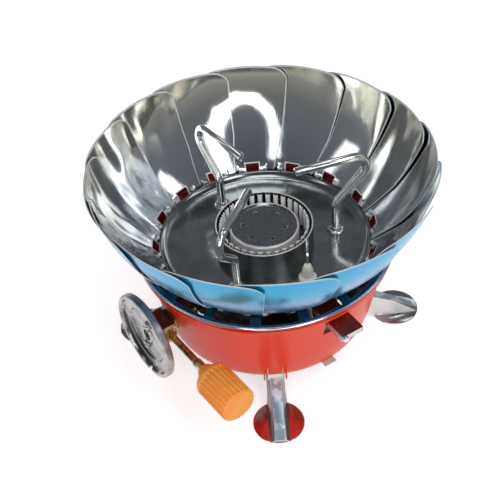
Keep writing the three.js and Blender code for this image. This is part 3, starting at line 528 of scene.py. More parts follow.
# Painted light: faces turned to the front are painted lighter.
colour = g.mix(near, colour, g.mix(tone, srgb(206, 206, 204), srgb(236, 236, 233)))
foot_tone = g.mix(tone, srgb(176, 174, 176), srgb(206, 206, 208))
# Painted reflection: the front foot takes a trace of the pan's red.
foot_tone = g.mix(y.band(-62.0, -58.0), g.mix(tone, srgb(186, 136, 132), srgb(214, 158, 152)), foot_tone)
colour = g.mix(foot, colour, foot_tone)
finish(g, colour=colour, metallic=0.85 - web * 0.25 + foot * 0.15 - near * 0.3,
       rough=0.26 + grain * 0.1 - foot * 0.12, bump=grain * 0.3 + tone * 2.0, strength=0.25, distance=0.12)

lever_steel, g, x, y, z = new_finish("lever_steel")
top = attribute(g, "top")
tone = noise(g, x, y, z, 0.3, 3.0)
# Painted reflection: the lever's top takes a trace of the pan's red.
colour = g.mix(top, srgb(204, 202, 202), g.mix(tone, srgb(104, 34, 32), srgb(146, 58, 54)))
finish(g, colour=colour, metallic=0.9 - top * 0.3, rough=0.2 + tone * 0.1, bump=tone, strength=0.15, distance=0.1)

bracket_steel, g, x, y, z = new_finish("bracket_steel")
tone = noise(g, x, y, z, 0.4, 3.0)
finish(g, colour=g.mix(tone, srgb(196, 188, 182), srgb(228, 222, 216)), metallic=0.15, rough=0.34 + tone * 0.12,
       bump=tone, strength=0.15, distance=0.1)
print("marked steels:", leg_steel.name, lever_steel.name, bracket_steel.name)

# %% [markdown]
# ## Burner steel
# The flame strip's inner folds are painted white and matt, a painted highlight,
# and its outer folds are painted dark, a painted shade. The cup's wall is dark
# grey and its rim carries a painted highlight. The cap is scratched, with a
# painted highlight on its edge and a painted glint on a small burr at each hole,
# which the formula finds by folding the circle into six equal parts.

# %% Materials: flame strip and cup
strip_steel, g, x, y, z = new_finish("strip_steel")
grain = noise(g, x, y, z, 1.2, 3.0)
# Painted light: inner folds white and matt as a painted highlight, outer folds dark as painted shade.
inner_fold_highlight = 1.0 - attribute(g, "fold").band(-0.5, 0.3)
colour = g.mix(inner_fold_highlight, srgb(60, 61, 63), g.mix(grain, srgb(250, 251, 252), srgb(255, 255, 255)))
finish(g, colour=colour, metallic=1.0 - inner_fold_highlight, rough=0.28 + grain * 0.12, bump=grain, strength=0.15,
       distance=0.1)

cup_steel, g, x, y, z = new_finish("cup_steel")
grain = noise(g, x, y, z, 0.5, 3.0)
# Painted highlight: a bright band round the top of the cup's rim.
rim_highlight = z.band(48.3, 48.6)
colour = g.mix(rim_highlight, g.mix(grain, srgb(84, 87, 90), srgb(112, 114, 116)), srgb(244, 245, 246))
finish(g, colour=colour, metallic=1.0 - rim_highlight * 0.5, rough=0.34 + grain * 0.12 - rim_highlight * 0.1, bump=grain,
       strength=0.15, distance=0.1)
print("burner steels:", strip_steel.name, cup_steel.name)

# %% Material: burner cap
CAP_HOLES, CAP_HOLE_RING, CAP_HOLE_R, CAP_PHASE = 6, 12.7, 1.05, 50.0

cap_steel, g, x, y, z = new_finish("cap_steel")
radius, angle = around(g, x, y)
half_turn = math.pi / CAP_HOLES
turn = g.add("ShaderNodeMath", {"operation": "WRAP"}, {
    0: angle - math.radians(CAP_PHASE), 1: half_turn, 2: -half_turn})
outward = radius * turn.cos() - CAP_HOLE_RING
from_hole = (outward ** 2.0 + (radius * turn.sin()) ** 2.0) ** 0.5
# Painted highlight: a bright crescent on one side of each hole and a bright ring at the cap's edge.
burr_and_edge_highlight = from_hole.band(1.0, 1.05) * (1.0 - from_hole.band(1.2, 1.45)) * outward.band(-1.2, 0.9) * 0.8
burr_and_edge_highlight = burr_and_edge_highlight.high(radius.band(19.2, 19.4))
grain = noise(g, x, y, z, 0.5, 3.0)
lines = noise(g, x * 0.2 + y * 3.0, y * 0.3 - x * 0.4, z, 1.0, 2.0).band(0.64, 0.70)
lines = lines.high(noise(g, x * 2.6 - y * 1.2, x * 0.2 + y * 0.4, z, 1.0, 2.0).band(0.67, 0.72))
colour = g.mix(lines * 0.2, g.mix(grain, srgb(152, 156, 160), srgb(176, 178, 180)), srgb(225, 226, 226))
colour = g.mix(burr_and_edge_highlight, colour, srgb(244, 244, 242))
finish(g, colour=colour, metallic=1.0 - burr_and_edge_highlight * 0.5, rough=0.10 + grain * 0.06 + lines * 0.2 + burr_and_edge_highlight * 0.2,
       bump=grain * 0.5 + lines * 0.1, strength=0.25, distance=0.12)
print("cap finish nodes:", len(g.tree.nodes))

# %% [markdown]
# ## Plastic, ceramic and rubber
# The knob is moulded in matte orange plastic, a little uneven where it flowed.
# The spark insulator is glazed ceramic, glossy and faintly yellow. Rubber and
# the black plunger are dark and soft, and show their grain in the sheen.

# %% Materials: plastic, ceramic, rubber
def moulded(name, light, dark, rough, spread, scale, coat=0.0):
    """A smooth material whose tone drifts between two colours."""
    material, g, x, y, z = new_finish(name)
    tone = noise(g, x, y, z, scale, 3.0)
    grain = noise(g, x, y, z, 2.6, 2.0)
    finish(g, colour=g.mix(tone.band(0.25, 0.75), dark, light), rough=rough + grain * spread, coat=coat,
           bump=grain, strength=0.12, distance=0.08)
    return material


orange_plastic = moulded("orange_plastic", srgb(255, 168, 72), srgb(255, 150, 54), 0.42, 0.14, 0.15)
ceramic = moulded("glazed_ceramic", srgb(252, 250, 243), srgb(244, 241, 230), 0.16, 0.10, 0.3, coat=0.4)
rubber = moulded("black_rubber", srgb(42, 42, 44), srgb(28, 28, 30), 0.62, 0.2, 0.4)
black_plastic = moulded("black_plastic", srgb(46, 46, 50), srgb(32, 32, 36), 0.38, 0.2, 0.4)
piezo_plastic = moulded("piezo_housing", srgb(240, 239, 234), srgb(222, 220, 214), 0.4, 0.15, 0.25)
print("moulded:", orange_plastic.name, ceramic.name, rubber.name, black_plastic.name, piezo_plastic.name)

# %% [markdown]
# ## From a mesh to a piece
# A finished piece is a plain mesh at the origin that rides on a CAD body and
# stands for a CAD node. Flat faces keep hard edges between them and curved ones
# shade smoothly, so the edges are marked by their angle.

# %% Put a mesh on its body
body_of_node = {node: body for body, nodes in frame["record"]["behaviour"]["bodies"].items() for node in nodes}


def piece(name, mesh, node, material=None, degrees=35):
    """Puts a mesh into the scene in place of a CAD node."""
    if material is not None:
        mesh.materials.clear()
        mesh.materials.append(material)
    mesh.shade_smooth()
    mesh.set_sharp_from_angle(angle=math.radians(degrees))
    made = bpy.data.objects.new(name, mesh)
    scene.collection.objects.link(made)
    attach(made, body_of_node[node])
    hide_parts(node)
    return made


# %% Bevels, cuts and joins
def evaluated(mesh, make_modifiers):
    """A new plain mesh: the given one after some modifiers."""
    carrier = bpy.data.objects.new("carrier", mesh)
    scene.collection.objects.link(carrier)
    extras = make_modifiers(carrier) or []
    bpy.context.view_layer.update()
    result = bpy.data.meshes.new_from_object(carrier.evaluated_get(bpy.context.evaluated_depsgraph_get()))
    for one in [carrier, *extras]:
        bpy.data.objects.remove(one)
    return result


def bevelled(mesh, width, segments=2, degrees=35):
    """A copy with its sharp edges rounded; the width is in millimetres."""
    def modifiers(carrier):
        bevel = carrier.modifiers.new("edges", "BEVEL")
        bevel.width, bevel.segments = width * MM, segments
        bevel.limit_method, bevel.angle_limit = "ANGLE", math.radians(degrees)
        bevel.harden_normals = True
    return evaluated(mesh, modifiers)


def carved(mesh, cutters):
    """A copy with each cutter's volume taken away."""
    def modifiers(carrier):
        tools = []
        for cutter in cutters:
            tool = bpy.data.objects.new("cutter", cutter)
            scene.collection.objects.link(tool)
            tool.hide_render = True
            cut = carrier.modifiers.new("cut", "BOOLEAN")
            cut.operation, cut.solver, cut.object = "DIFFERENCE", "EXACT", tool
            tools.append(tool)
        return tools
    return evaluated(mesh, modifiers)


def to_mesh(bm, name):
    """A plain mesh of what was built."""
    mesh = bpy.data.meshes.new(name)
    bm.to_mesh(mesh)
    bm.free()
    return mesh


def from_bmesh(bm, name):
    """A plain mesh with its doubles merged and its faces turned outwards."""
    bmesh.ops.remove_doubles(bm, verts=bm.verts, dist=0.002 * MM)
    bmesh.ops.recalc_face_normals(bm, faces=bm.faces)
    return to_mesh(bm, name)


def merged(meshes, name):
    """Several meshes as one."""
    bm = bmesh.new()
    for mesh in meshes:
        bm.from_mesh(mesh)
    return to_mesh(bm, name)


def turn_mesh(mesh, degrees):
    """Turns a mesh about the burner's axis."""
    mesh.transform(Matrix.Rotation(math.radians(degrees), 4, "Z"))
    return mesh


print("mesh tools ready")

# %% [markdown]
# ## A copy of a CAD node with real edges
# Small pieces already have the right shape in the CAD, but a CAD node is a heap
# of loose flat triangles with knife-sharp edges. A copy is merged, flat areas
# are joined into single faces, and every hard edge gets a small bevel, which is
# what catches the light on a real part.

# %% Dress a CAD node
def dressed(node, material, width, segments=2, degrees=35, extra=()):
    """A piece made from a CAD node's mesh, with bevelled edges and any extra meshes joined on."""
    bm = bmesh.new()
    bm.from_mesh(frame["nodes"][node].data)
    bmesh.ops.remove_doubles(bm, verts=bm.verts, dist=0.004 * MM)
    bmesh.ops.dissolve_limit(bm, angle_limit=math.radians(0.6), verts=bm.verts, edges=bm.edges)
    mesh = to_mesh(bm, node + "_dressed")
    if width:
        mesh = bevelled(mesh, width, segments, degrees)
    if extra:
        mesh = merged([mesh, *extra], node + "_dressed")
    return piece(node + "_dressed", mesh, node, material, degrees)


def mark(made, name, test):
    """A face attribute that is 1 where the test holds for a face's centre and normal."""
    layer = made.data.attributes.new(name, "FLOAT", "FACE")
    for face, item in zip(made.data.polygons, layer.data):
        item.value = 1.0 if test(face.center / MM, face.normal) else 0.0


print("largest CAD node:", max(frame["nodes"], key=lambda node: len(frame["nodes"][node].data.polygons)))

# %% [markdown]
# ## Turned and pressed rings
# The pan, the plate, the cup and the cap are all round, so each is a profile
# spun about the vertical axis. The corners of a profile are softened first,
# because a press leaves a radius at every bend, and a sheet gets its second
# face at the sheet's thickness.

# %% Profiles
def softened(points, radius, steps=4, closed=True):
    """The same outline with every corner replaced by a short curve."""
    out, count = [], len(points)
    for i, point in enumerate(points):
        if not closed and i in (0, count - 1):
            out.append(tuple(point))
            continue
        here = Vector(point)
        before, after = Vector(points[i - 1]) - here, Vector(points[(i + 1) % count]) - here
        reach = min(radius, before.length * 0.45, after.length * 0.45)
        start, end = here + before.normalized() * reach, here + after.normalized() * reach
        for k in range(steps + 1):
            t = k / steps
            out.append(tuple(start * (1 - t) ** 2 + here * 2 * t * (1 - t) + end * t * t))
    return out


def sheet(points, thickness):
    """The closed outline of a bent sheet; the second face is to the left of the first."""
    def left(a, b):
        length = math.dist(a, b)
        return (-(b[1] - a[1]) / length, (b[0] - a[0]) / length)
    back_face = []
    for i, p in enumerate(points):
        before = left(points[i - 1], p) if i else left(p, points[1])
        after = left(p, points[i + 1]) if i < len(points) - 1 else before
        reach = thickness / (1 + before[0] * after[0] + before[1] * after[1])
        back_face.append((p[0] + reach * (before[0] + after[0]), p[1] + reach * (before[1] + after[1])))
    return list(points) + back_face[::-1]


def held(points, closed):
    """Adds a point near both ends of every long straight, which keeps its shading flat."""
    out = []
    count = len(points)
    for i, point in enumerate(points):
        out.append(point)
        if i == count - 1 and not closed:
            break
        here, after = Vector(point), Vector(points[(i + 1) % count])
        if (after - here).length > 2.5:
            inset = (after - here).normalized() * 0.3
            out += [tuple(here + inset), tuple(after - inset)]
    return out


def step(value, start, end):
    """0 before start, 1 after end, and a smooth step between them."""
    t = min(1.0, max(0.0, (value - start) / (end - start)))
    return t * t * (3 - 2 * t)


def divided(points, longest):
    """Adds points so that no straight is longer than a given length."""
    out = [points[0]]
    for before, after in zip(points, points[1:]):
        parts = math.ceil(math.dist(before, after) / longest)
        out += [tuple(Vector(before).lerp(Vector(after), k / parts)) for k in range(1, parts + 1)]
    return out


print("a softened square has", len(softened([(10, 0), (12, 0), (12, 2), (10, 2)], 0.3)), "points")


# %% Lathe, blocks, rods and plates
def lathe(points, segments=144, closed=True):
    """Spins an outline of radius and height about the vertical axis."""
    points = held(points, closed)
    bm = bmesh.new()
    rings = []
    for k in range(segments):
        a = 2 * math.pi * k / segments
        rings.append([bm.verts.new((r * math.cos(a) * MM, r * math.sin(a) * MM, z * MM)) for r, z in points])
    last = len(points) if closed else len(points) - 1
    for k in range(segments):
        one, two = rings[k], rings[(k + 1) % segments]
        for i in range(last):
            j = (i + 1) % len(points)
            corners = [one[i], two[i], two[j], one[j]]
            flat = []
            for v in corners:
                if all((v.co - other.co).length > 1e-9 for other in flat):
                    flat.append(v)
            if len(flat) > 2:
                bm.faces.new(flat)
    return from_bmesh(bm, "turned")


def block(x0, x1, y0, y1, z0, z1):
    """A box between its limits, for a cutter."""
    bm = bmesh.new()
    bmesh.ops.create_cube(bm, size=1)
    for v in bm.verts:
        v.co = Vector(((x0 + x1) / 2 + v.co.x * (x1 - x0), (y0 + y1) / 2 + v.co.y * (y1 - y0),
                       (z0 + z1) / 2 + v.co.z * (z1 - z0))) * MM
    return from_bmesh(bm, "block")


def rod_mesh(radius, length, sides, lean=None, place=(0, 0, 0)):
    """A round bar for a cutter, upright or leaned over by a quarter turn about an axis."""
    bm = bmesh.new()
    bmesh.ops.create_cone(bm, cap_ends=True, segments=sides, radius1=radius * MM, radius2=radius * MM,
                          depth=length * MM)
    rod = from_bmesh(bm, "rod")
    leaned = Matrix.Rotation(math.pi / 2, 4, lean) if lean else Matrix.Identity(4)
    rod.transform(Matrix.Translation([c * MM for c in place]) @ leaned)
    return rod


def plate_mesh(outline, y0, y1):
    """A flat plate whose outline is in x and z, between two y values."""
    bm = bmesh.new()
    near = [bm.verts.new((x * MM, y0 * MM, z * MM)) for x, z in outline]
    far = [bm.verts.new((x * MM, y1 * MM, z * MM)) for x, z in outline]
    bm.faces.new(near)
    bm.faces.new(far[::-1])
    for i in range(len(outline)):
        j = (i + 1) % len(outline)
        bm.faces.new([near[i], far[i], far[j], near[j]])
    return from_bmesh(bm, "plate")


print("lathe, block, rod and plate ready")

# %% [markdown]
# ## Body pan
# The pan is drawn from sheet and enamelled. Its wall leans outwards, rolls over
# a step under the rim, and turns in at the bottom, and a low panel is pressed
# out over each leg. The legs' slots, the hole of the valve neck and the lever's
# window are cut with booleans, as a punch would do it, and the ears that hold
# the leg pins are plates bent out of the wall.

# %% Build the pan's wall
PAN_WALL = [(53, -17.2), (58.8, -17.2), (60.4, -15.9), (62.2, -12), (64.8, -2), (69, 18), (71.9, 32), (74.2, 33.4),
            (75, 34.3), (75, 38.76)]
PAN_SHEET, PANEL_HEIGHT = 0.8, 0.35

wall = divided(softened(PAN_WALL, 1.6, 4, closed=False), 2.5)
shell = lathe(sheet(wall, PAN_SHEET), 360)
for vertex in shell.vertices:
    x, y, z = vertex.co / MM
    radius, turn = math.hypot(x, y), math.degrees(math.atan2(y, x))
    for azimuth in LEGS.values():
        sideways = abs(radius * math.sin(math.radians(turn - azimuth)))
        if radius > 60.3 and abs((turn - azimuth + 180) % 360 - 180) < 20:
            out = PANEL_HEIGHT * (1 - step(sideways, 3.8, 5.0)) * (1 - step(z, -14.0, -2.0))
            vertex.co += Vector((x, y, 0)) / radius * out * MM
print("wall points:", len(wall), "faces:", len(shell.polygons))

# %% Cut the pan's openings
LEG_SLOT, EAR_OUTSIDE = 5.9, 6.8

cutters = []
for azimuth in LEGS.values():
    cutters.append(turn_mesh(block(50, 68, -LEG_SLOT, LEG_SLOT, -20, -14.6), azimuth))
    cutters.append(turn_mesh(block(50, 59.4, -9, 9, -20, -14), azimuth))
cutters.append(turn_mesh(rod_mesh(5.3, 20, 40, "Y", (70, 0, GAS_Z)), GAS_AZIMUTH))
cutters.append(turn_mesh(block(60, 80, -7.7, 7.7, 18, 31.6), IGNITER_AZIMUTH))
shell = carved(shell, cutters)
print("openings:", len(cutters))

# %% Bend the ears and finish the pan
EAR = [(51, -20.4), (60.6, -20.4), (62.8, -17.6), (64.6, -11), (64.3, -4.6), (63.6, -4.6), (61.4, -11.4),
       (56, -12.4), (51, -14)]
PIN_PLACE, PIN_BORE = (56.5, 0, -15.5), 1.55

ears = []
for azimuth in LEGS.values():
    for y0, y1 in ((LEG_SLOT, EAR_OUTSIDE), (-EAR_OUTSIDE, -LEG_SLOT)):
        ear = carved(plate_mesh(softened(EAR, 0.8, 3), y0, y1), [rod_mesh(PIN_BORE, 20, 24, "X", PIN_PLACE)])
        ears.append(turn_mesh(bevelled(ear, 0.25), azimuth))
pan = merged([shell, *ears], "body_pan")
piece("body_pan", pan, "body_shell", enamel, 40)
print("pan faces:", len(pan.polygons))

# %% [markdown]
# ## Geometry Nodes: the tools
# A tree's result becomes a plain mesh as soon as it is made. The function below
# gives the tree its inputs, runs it once, and returns the mesh. Each tree starts
# by naming its inputs, so that the sizes can be tried by hand later.

# %% Helpers for geometry trees
KINDS = {float: "NodeSocketFloat", int: "NodeSocketInt"}


def new_tree(name, takes_geometry=False, **inputs):
    """A geometry tree with named inputs; returns the graph and a field for each input."""
    tree = bpy.data.node_groups.new(name, "GeometryNodeTree")
    tree.interface.new_socket(name="Geometry", in_out="OUTPUT", socket_type="NodeSocketGeometry")
    if takes_geometry:
        tree.interface.new_socket(name="Geometry", in_out="INPUT", socket_type="NodeSocketGeometry")
    for key, value in inputs.items():
        socket = tree.interface.new_socket(name=key, in_out="INPUT", socket_type=KINDS[type(value)])
        socket.default_value = value
    tree.interface.new_socket(name="material", in_out="INPUT", socket_type="NodeSocketMaterial")
    g = Graph(tree)
    entry = tree.nodes.new("NodeGroupInput")
    fields = {s.name: Field(g, s) for s in entry.outputs if s.name}
    return g, fields


def close_tree(g, geometry, material):
    """Realize Instances and Set Material end every tree."""
    real = g.add("GeometryNodeRealizeInstances", {}, {"Geometry": geometry})
    painted = g.add("GeometryNodeSetMaterial", {}, {"Geometry": real, "Material": material})
    g.add("NodeGroupOutput", {}, {"Geometry": painted})
    return g.tree


def run_tree(tree, base=None, **values):
    """The plain mesh that a tree makes, from a base mesh if it takes one."""
    def modifiers(carrier):
        maker = carrier.modifiers.new("maker", "NODES")
        maker.node_group = tree
        for item in tree.interface.items_tree:
            if item.in_out == "INPUT" and item.name in values:
                maker[item.identifier] = values[item.name]
    return evaluated(base or bpy.data.meshes.new("empty"), modifiers)


def moved(g, geometry, x, y, z):
    """Sets every point of a geometry to a place given in millimetres."""
    return g.add("GeometryNodeSetPosition", {}, {"Geometry": geometry, "Position": g.vector(x * MM, y * MM, z * MM)})


def stored(g, geometry, name, value, domain="POINT"):
    """The geometry with a number kept under a name."""
    return g.add("GeometryNodeStoreNamedAttribute", {"data_type": "FLOAT", "domain": domain},
                 {"Geometry": geometry, "Name": name, "Value": value})


def recalled(g, name):
    """The number kept under a name, at each point."""
    return g.add("GeometryNodeInputNamedAttribute", {"data_type": "FLOAT"}, {"Name": name}, output="Attribute")


print("tree helpers ready")

# %% Sheets and rings in a tree
def flat_grid(g, width, height, columns, rows):
    """A flat grid about the origin, and its x and y."""
    grid = g.add("GeometryNodeMeshGrid", {}, {"Size X": width, "Size Y": height, "Vertices X": columns,
                                              "Vertices Y": rows})
    place = g.add("ShaderNodeSeparateXYZ", {}, {"Vector": g.add("GeometryNodeInputPosition")})
    return grid, place.output("X"), place.output("Y")


def thickened(g, face, scale=1.0, offset=None):
    """A face grown into a sheet: along its normals, or to another place given in millimetres."""
    inputs = {"Mesh": face, "Offset Scale": scale, "Individual": False}
    if offset is not None:
        inputs["Offset"] = g.add("ShaderNodeVectorMath", {"operation": "SUBTRACT"}, {
            0: g.vector(*(c * MM for c in offset)), 1: g.add("GeometryNodeInputPosition")})
    return g.add("GeometryNodeExtrudeMesh", {"mode": "FACES"}, inputs)


def closed_sheet(g, grown, face):
    """The grown sheet with its first face put back, turned over and merged along its edge."""
    back = g.add("GeometryNodeFlipFaces", {}, {"Mesh": face})
    both = g.add("GeometryNodeJoinGeometry", {}, {"Geometry": [grown, back]})
    return g.add("GeometryNodeMergeByDistance", {}, {"Geometry": both, "Distance": 0.001 * MM})


def punched(g, fields, seats, cutter, rotation=(0, 0, 0)):
    """Takes a cutter away from the tree's own geometry at every seat."""
    cutters = g.add("GeometryNodeInstanceOnPoints", {}, {"Points": seats, "Instance": cutter, "Rotation": rotation})
    cutters = g.add("GeometryNodeRealizeInstances", {}, {"Geometry": cutters})
    holed = g.add("GeometryNodeMeshBoolean", {"operation": "DIFFERENCE", "solver": "EXACT"},
                  {"Mesh 1": fields["Geometry"], "Mesh 2": cutters})
    return close_tree(g, holed, fields["material"])


def outwards(mesh, merge=0.0):
    """Turns a mesh's faces outwards, after merging what lies closer than a distance in millimetres."""
    bm = bmesh.new()
    bm.from_mesh(mesh)
    if merge:
        bmesh.ops.remove_doubles(bm, verts=bm.verts, dist=merge * MM)
    bmesh.ops.recalc_face_normals(bm, faces=bm.faces)
    bm.to_mesh(mesh)
    bm.free()
    return mesh


print("sheet tools ready")

# %% [markdown]
# ## Windshield petals
# Each petal is a curved strip: narrow at its hinge, wider at the tip, bowed
# outwards, with one edge lying inside its neighbour and the other outside. All
# of that follows a rule, so a flat grid is bent by a formula: u runs across and
# v runs from foot to tip. The grid's back face is a second copy of the same
# formula, half a millimetre further out. Small terms finish the shape: the tip's
# corners drop, which rounds them, and the foot reaches lower between the hooks,
# with a notch left open in its middle. Two narrow strips, bent by a formula of
# their own, are the hooks that hold the petal on the plate's shoulder.

# %% The petal's formula
PETALS = 16
PITCH = 360 / PETALS
PHASE = 161.2


def petal_surface(u, v, lift, f):
    """A curve from foot to tip, spread over an angle that grows with v."""
    drop = 0.02 * u * u + 0.1 * (abs(u) ** 8.0)
    tab = (1.0 - abs(u).band(0.62, 0.66)) * (1.0 - v.band(0.0, 0.03)) * f["tab"]
    v = v * (1.0 - drop)
    s = 1.0 - v
    r = s * s * f["foot_radius"] + 2.0 * s * v * f["belly_radius"] + v * v * f["tip_radius"]
    z = s * s * f["foot_height"] + 2.0 * s * v * f["belly_height"] + v * v * f["tip_height"]
    slope_r = 2.0 * s * (f["belly_radius"] - f["foot_radius"]) + 2.0 * v * (f["tip_radius"] - f["belly_radius"])
    slope_z = 2.0 * s * (f["belly_height"] - f["foot_height"]) + 2.0 * v * (f["tip_height"] - f["belly_height"])
    length = (slope_r * slope_r + slope_z * slope_z) ** 0.5
    radius = r + (f["foot_lap"] + f["tip_lap"] * v) * u + lift * slope_z / length
    half = f["foot_spread"] + f["belly_spread"] * (v / 0.35).low(1.0) + f["tip_spread"] * v
    angle = (half * u + f["azimuth"]) * DEGREE
    return radius * angle.cos(), radius * angle.sin(), z - tab - lift * slope_r / length


print("petals:", PETALS, "at every", PITCH, "degrees")

# %% Tree: one petal
g, fields = new_tree("windshield_petal", foot_radius=63.0, foot_height=39.4, belly_radius=89.2, belly_height=63.0,
                     tip_radius=97.5, tip_height=94.0, foot_spread=12.2, belly_spread=2.8, tip_spread=2.0,
                     foot_lap=0.7, tip_lap=0.8, tab=1.7, sheet=0.48, azimuth=0.0, shoulder_radius=62.0,
                     shoulder_height=38.2, hook_inside=1.25, hook_outside=1.75, hook_start=6.2, hook_width=2.6)
grid, x, y = flat_grid(g, 2.0, 1.0, 61, 55)
grid = stored(g, grid, "across", x)
grid = stored(g, grid, "along", y + 0.5)
u, v = recalled(g, "across"), recalled(g, "along")
inside_window = (abs(u) < 0.31) * (v < 0.056)
window = g.add("GeometryNodeDeleteGeometry", {"domain": "FACE", "mode": "ALL"},
               {"Geometry": grid, "Selection": inside_window > 0.75})
inner_face = moved(g, window, *petal_surface(u, v, 0.0, fields))
grown = thickened(g, inner_face, offset=petal_surface(u, v, fields["sheet"], fields))
closed = closed_sheet(g, stored(g, grown, "outer", grown.output("Top"), "FACE"), inner_face)


def hook(g, side, f):
    """A strip that wraps over, outside and under the plate's shoulder."""
    strip, x, y = flat_grid(g, 1.0, 1.0, 3, 17)
    strip = stored(g, strip, "across_hook", x + 0.5)
    strip = stored(g, strip, "round_hook", y * 200.0)
    width, turn = recalled(g, "across_hook"), recalled(g, "round_hook") * DEGREE
    azimuth = f["azimuth"] * DEGREE
    sideways = side * (f["hook_start"] + width * f["hook_width"])

    def at(reach):
        out = f["shoulder_radius"] + turn.cos() * reach
        return (out * azimuth.cos() - sideways * azimuth.sin(), out * azimuth.sin() + sideways * azimuth.cos(),
                f["shoulder_height"] + turn.sin() * reach)
    bent = moved(g, strip, *at(f["hook_inside"]))
    return closed_sheet(g, thickened(g, bent, offset=at(f["hook_outside"])), bent)


whole = g.add("GeometryNodeJoinGeometry", {}, {"Geometry": [closed, hook(g, 1.0, fields), hook(g, -1.0, fields)]})
petal_tree = close_tree(g, whole, fields["material"])
print("petal tree nodes:", len(petal_tree.nodes))

# %% [markdown]
# The tree runs sixteen times, with another azimuth each time. Every petal turns
# on its own hinge, so each one is a mesh of its own that rides on its own body,
# and not one of sixteen copies in a single mesh.

# %% Sixteen petals, one for each body
for i in range(PETALS):
    mesh = outwards(run_tree(petal_tree, azimuth=PHASE - i * PITCH, material=petal_steel))
    name = f"petal_{i + 1:02d}"
    piece("windshield_" + name, mesh, name, None, 50)
print("petal faces:", len(mesh.polygons))

# %% [markdown]
# ## Burner plate with its ring of slots
# The plate is a softened profile on the lathe. The sixteen slots are one cutter
# that a geometry tree sets out around the axis and takes away in one boolean: an
# arc swept with a rectangle, so the slot's long sides follow the circle. A
# second tree does the same with a round cutter, for the holes of the supports,
# of the insulator, and later of the cap.

# %% Tree: a ring of slots
g, fields = new_tree("ring_of_slots", takes_geometry=True, count=16, radius=65.9, width=6.6, degrees=17.5, phase=0.0,
                     depth=8.0, middle=37.0)
arc = g.add("GeometryNodeCurveArc", {"mode": "RADIUS"}, {
    "Resolution": 14, "Radius": fields["radius"] * MM, "Start Angle": fields["degrees"] * (-DEGREE / 2),
    "Sweep Angle": fields["degrees"] * DEGREE})
section = g.add("GeometryNodeCurvePrimitiveQuadrilateral", {"mode": "RECTANGLE"}, {
    "Width": fields["width"] * MM, "Height": fields["depth"] * MM})
cutter = g.add("GeometryNodeCurveToMesh", {}, {"Curve": arc, "Profile Curve": section, "Fill Caps": True})
cutter = g.add("GeometryNodeTransform", {}, {
    "Geometry": cutter, "Translation": g.vector(0.0, 0.0, fields["middle"] * MM)})
seats = g.add("GeometryNodePoints", {}, {"Count": fields["count"]})
turn = (fields["phase"] + g.add("GeometryNodeInputIndex") * 360.0 / fields["count"]) * DEGREE
slot_tree = punched(g, fields, seats, cutter, g.vector(0.0, 0.0, turn))
print("slot tree nodes:", len(slot_tree.nodes))

# %% Tree: a ring of round holes
g, fields = new_tree("ring_of_holes", takes_geometry=True, count=6, ring_radius=15.0, hole_radius=0.8, phase=50.0,
                     depth=10.0, middle=45.0)
cutter = g.add("GeometryNodeMeshCylinder", {}, {
    "Vertices": 24, "Radius": fields["hole_radius"] * MM, "Depth": fields["depth"] * MM})
seats = g.add("GeometryNodePoints", {}, {"Count": fields["count"]})
turn = (fields["phase"] + g.add("GeometryNodeInputIndex") * 360.0 / fields["count"]) * DEGREE
seats = moved(g, seats, turn.cos() * fields["ring_radius"], turn.sin() * fields["ring_radius"], fields["middle"])
hole_tree = punched(g, fields, seats, cutter)
print("hole tree nodes:", len(hole_tree.nodes))

# %% Build the burner plate
SUPPORTS = {"a": (125.5, 0), "b": (6, 9), "c": (245, 1)}
SUPPORT_R, WIRE_R = 42.3, 2.4
ELECTRODE_R, INSULATOR_HOLE_R = 43.4, 2.85
PLATE_MIDDLE = 35.0
PLATE_FACE = [(28.63, 36), (57.3, 36), (59.6, 37), (61, 38.3), (61.8, 38.5), (62.5, 38.2), (69.8, 35), (72.5, 35),
              (73.4, 35.9), (73.4, 39), (74, 39.6), (75.4, 39.6), (76, 39), (76, 37.7)]
face = softened(PLATE_FACE, 0.9, 3, closed=False)
plate = lathe(sheet(face, -0.7), 160)
plate = run_tree(slot_tree, plate, phase=PHASE, material=plate_steel)
holes = [(SUPPORT_R, WIRE_R + 0.12, float(azimuth)) for azimuth, swivel in SUPPORTS.values()]
for ring, hole, azimuth in [*holes, (ELECTRODE_R, INSULATOR_HOLE_R, IGNITER_AZIMUTH)]:
    plate = run_tree(hole_tree, plate, count=1, ring_radius=ring, hole_radius=hole, phase=azimuth,
                     middle=PLATE_MIDDLE, material=plate_steel)
piece("burner_plate_polished", plate, "burner_plate", plate_steel, 40)
print("plate faces:", len(plate.polygons))

# %% [markdown]
# ## Burner cup, flame strip and cap
# Gas leaves between the folds of a crimped ribbon that stands in the cup around
# the cap. The ribbon is a grid again: one way runs round the circle while the
# radius swings in and out, the other way is its height. Clamping the swing
# makes flat folds with quick turns, as a crimping roller does. The cup and the
# cap are drawn shells, so both are profiles on the lathe.

# %% Tree: the crimped ribbon
TEETH = 34

g, fields = new_tree("crimped_ribbon", teeth=TEETH, inner=25.2, outer=27.5, sheet=0.45, foot=34.55, top=48.6)
ribbon, x, y = flat_grid(g, 1.0, 1.0, TEETH * 16 + 1, 3)
ribbon = stored(g, ribbon, "turn", (x + 0.5) * (2 * math.pi))
ribbon = stored(g, ribbon, "rise", y + 0.5)
turn, rise = recalled(g, "turn"), recalled(g, "rise")
swing = ((turn * fields["teeth"]).sin() * 4.0 - 1.0).low(1.0).high(-1.0)
ribbon = stored(g, ribbon, "fold", swing)
middle = (fields["inner"] + fields["outer"]) / 2.0
reach = middle + swing * (fields["outer"] - fields["inner"]) / 2.0
up_to = fields["foot"] + (fields["top"] - fields["foot"]) * rise
bent = moved(g, ribbon, reach * turn.cos(), reach * turn.sin(), up_to)
bent = g.add("GeometryNodeMergeByDistance", {}, {"Geometry": bent, "Distance": 0.001 * MM})
ribbon_tree = close_tree(g, closed_sheet(g, thickened(g, bent, fields["sheet"] * MM), bent), fields["material"])
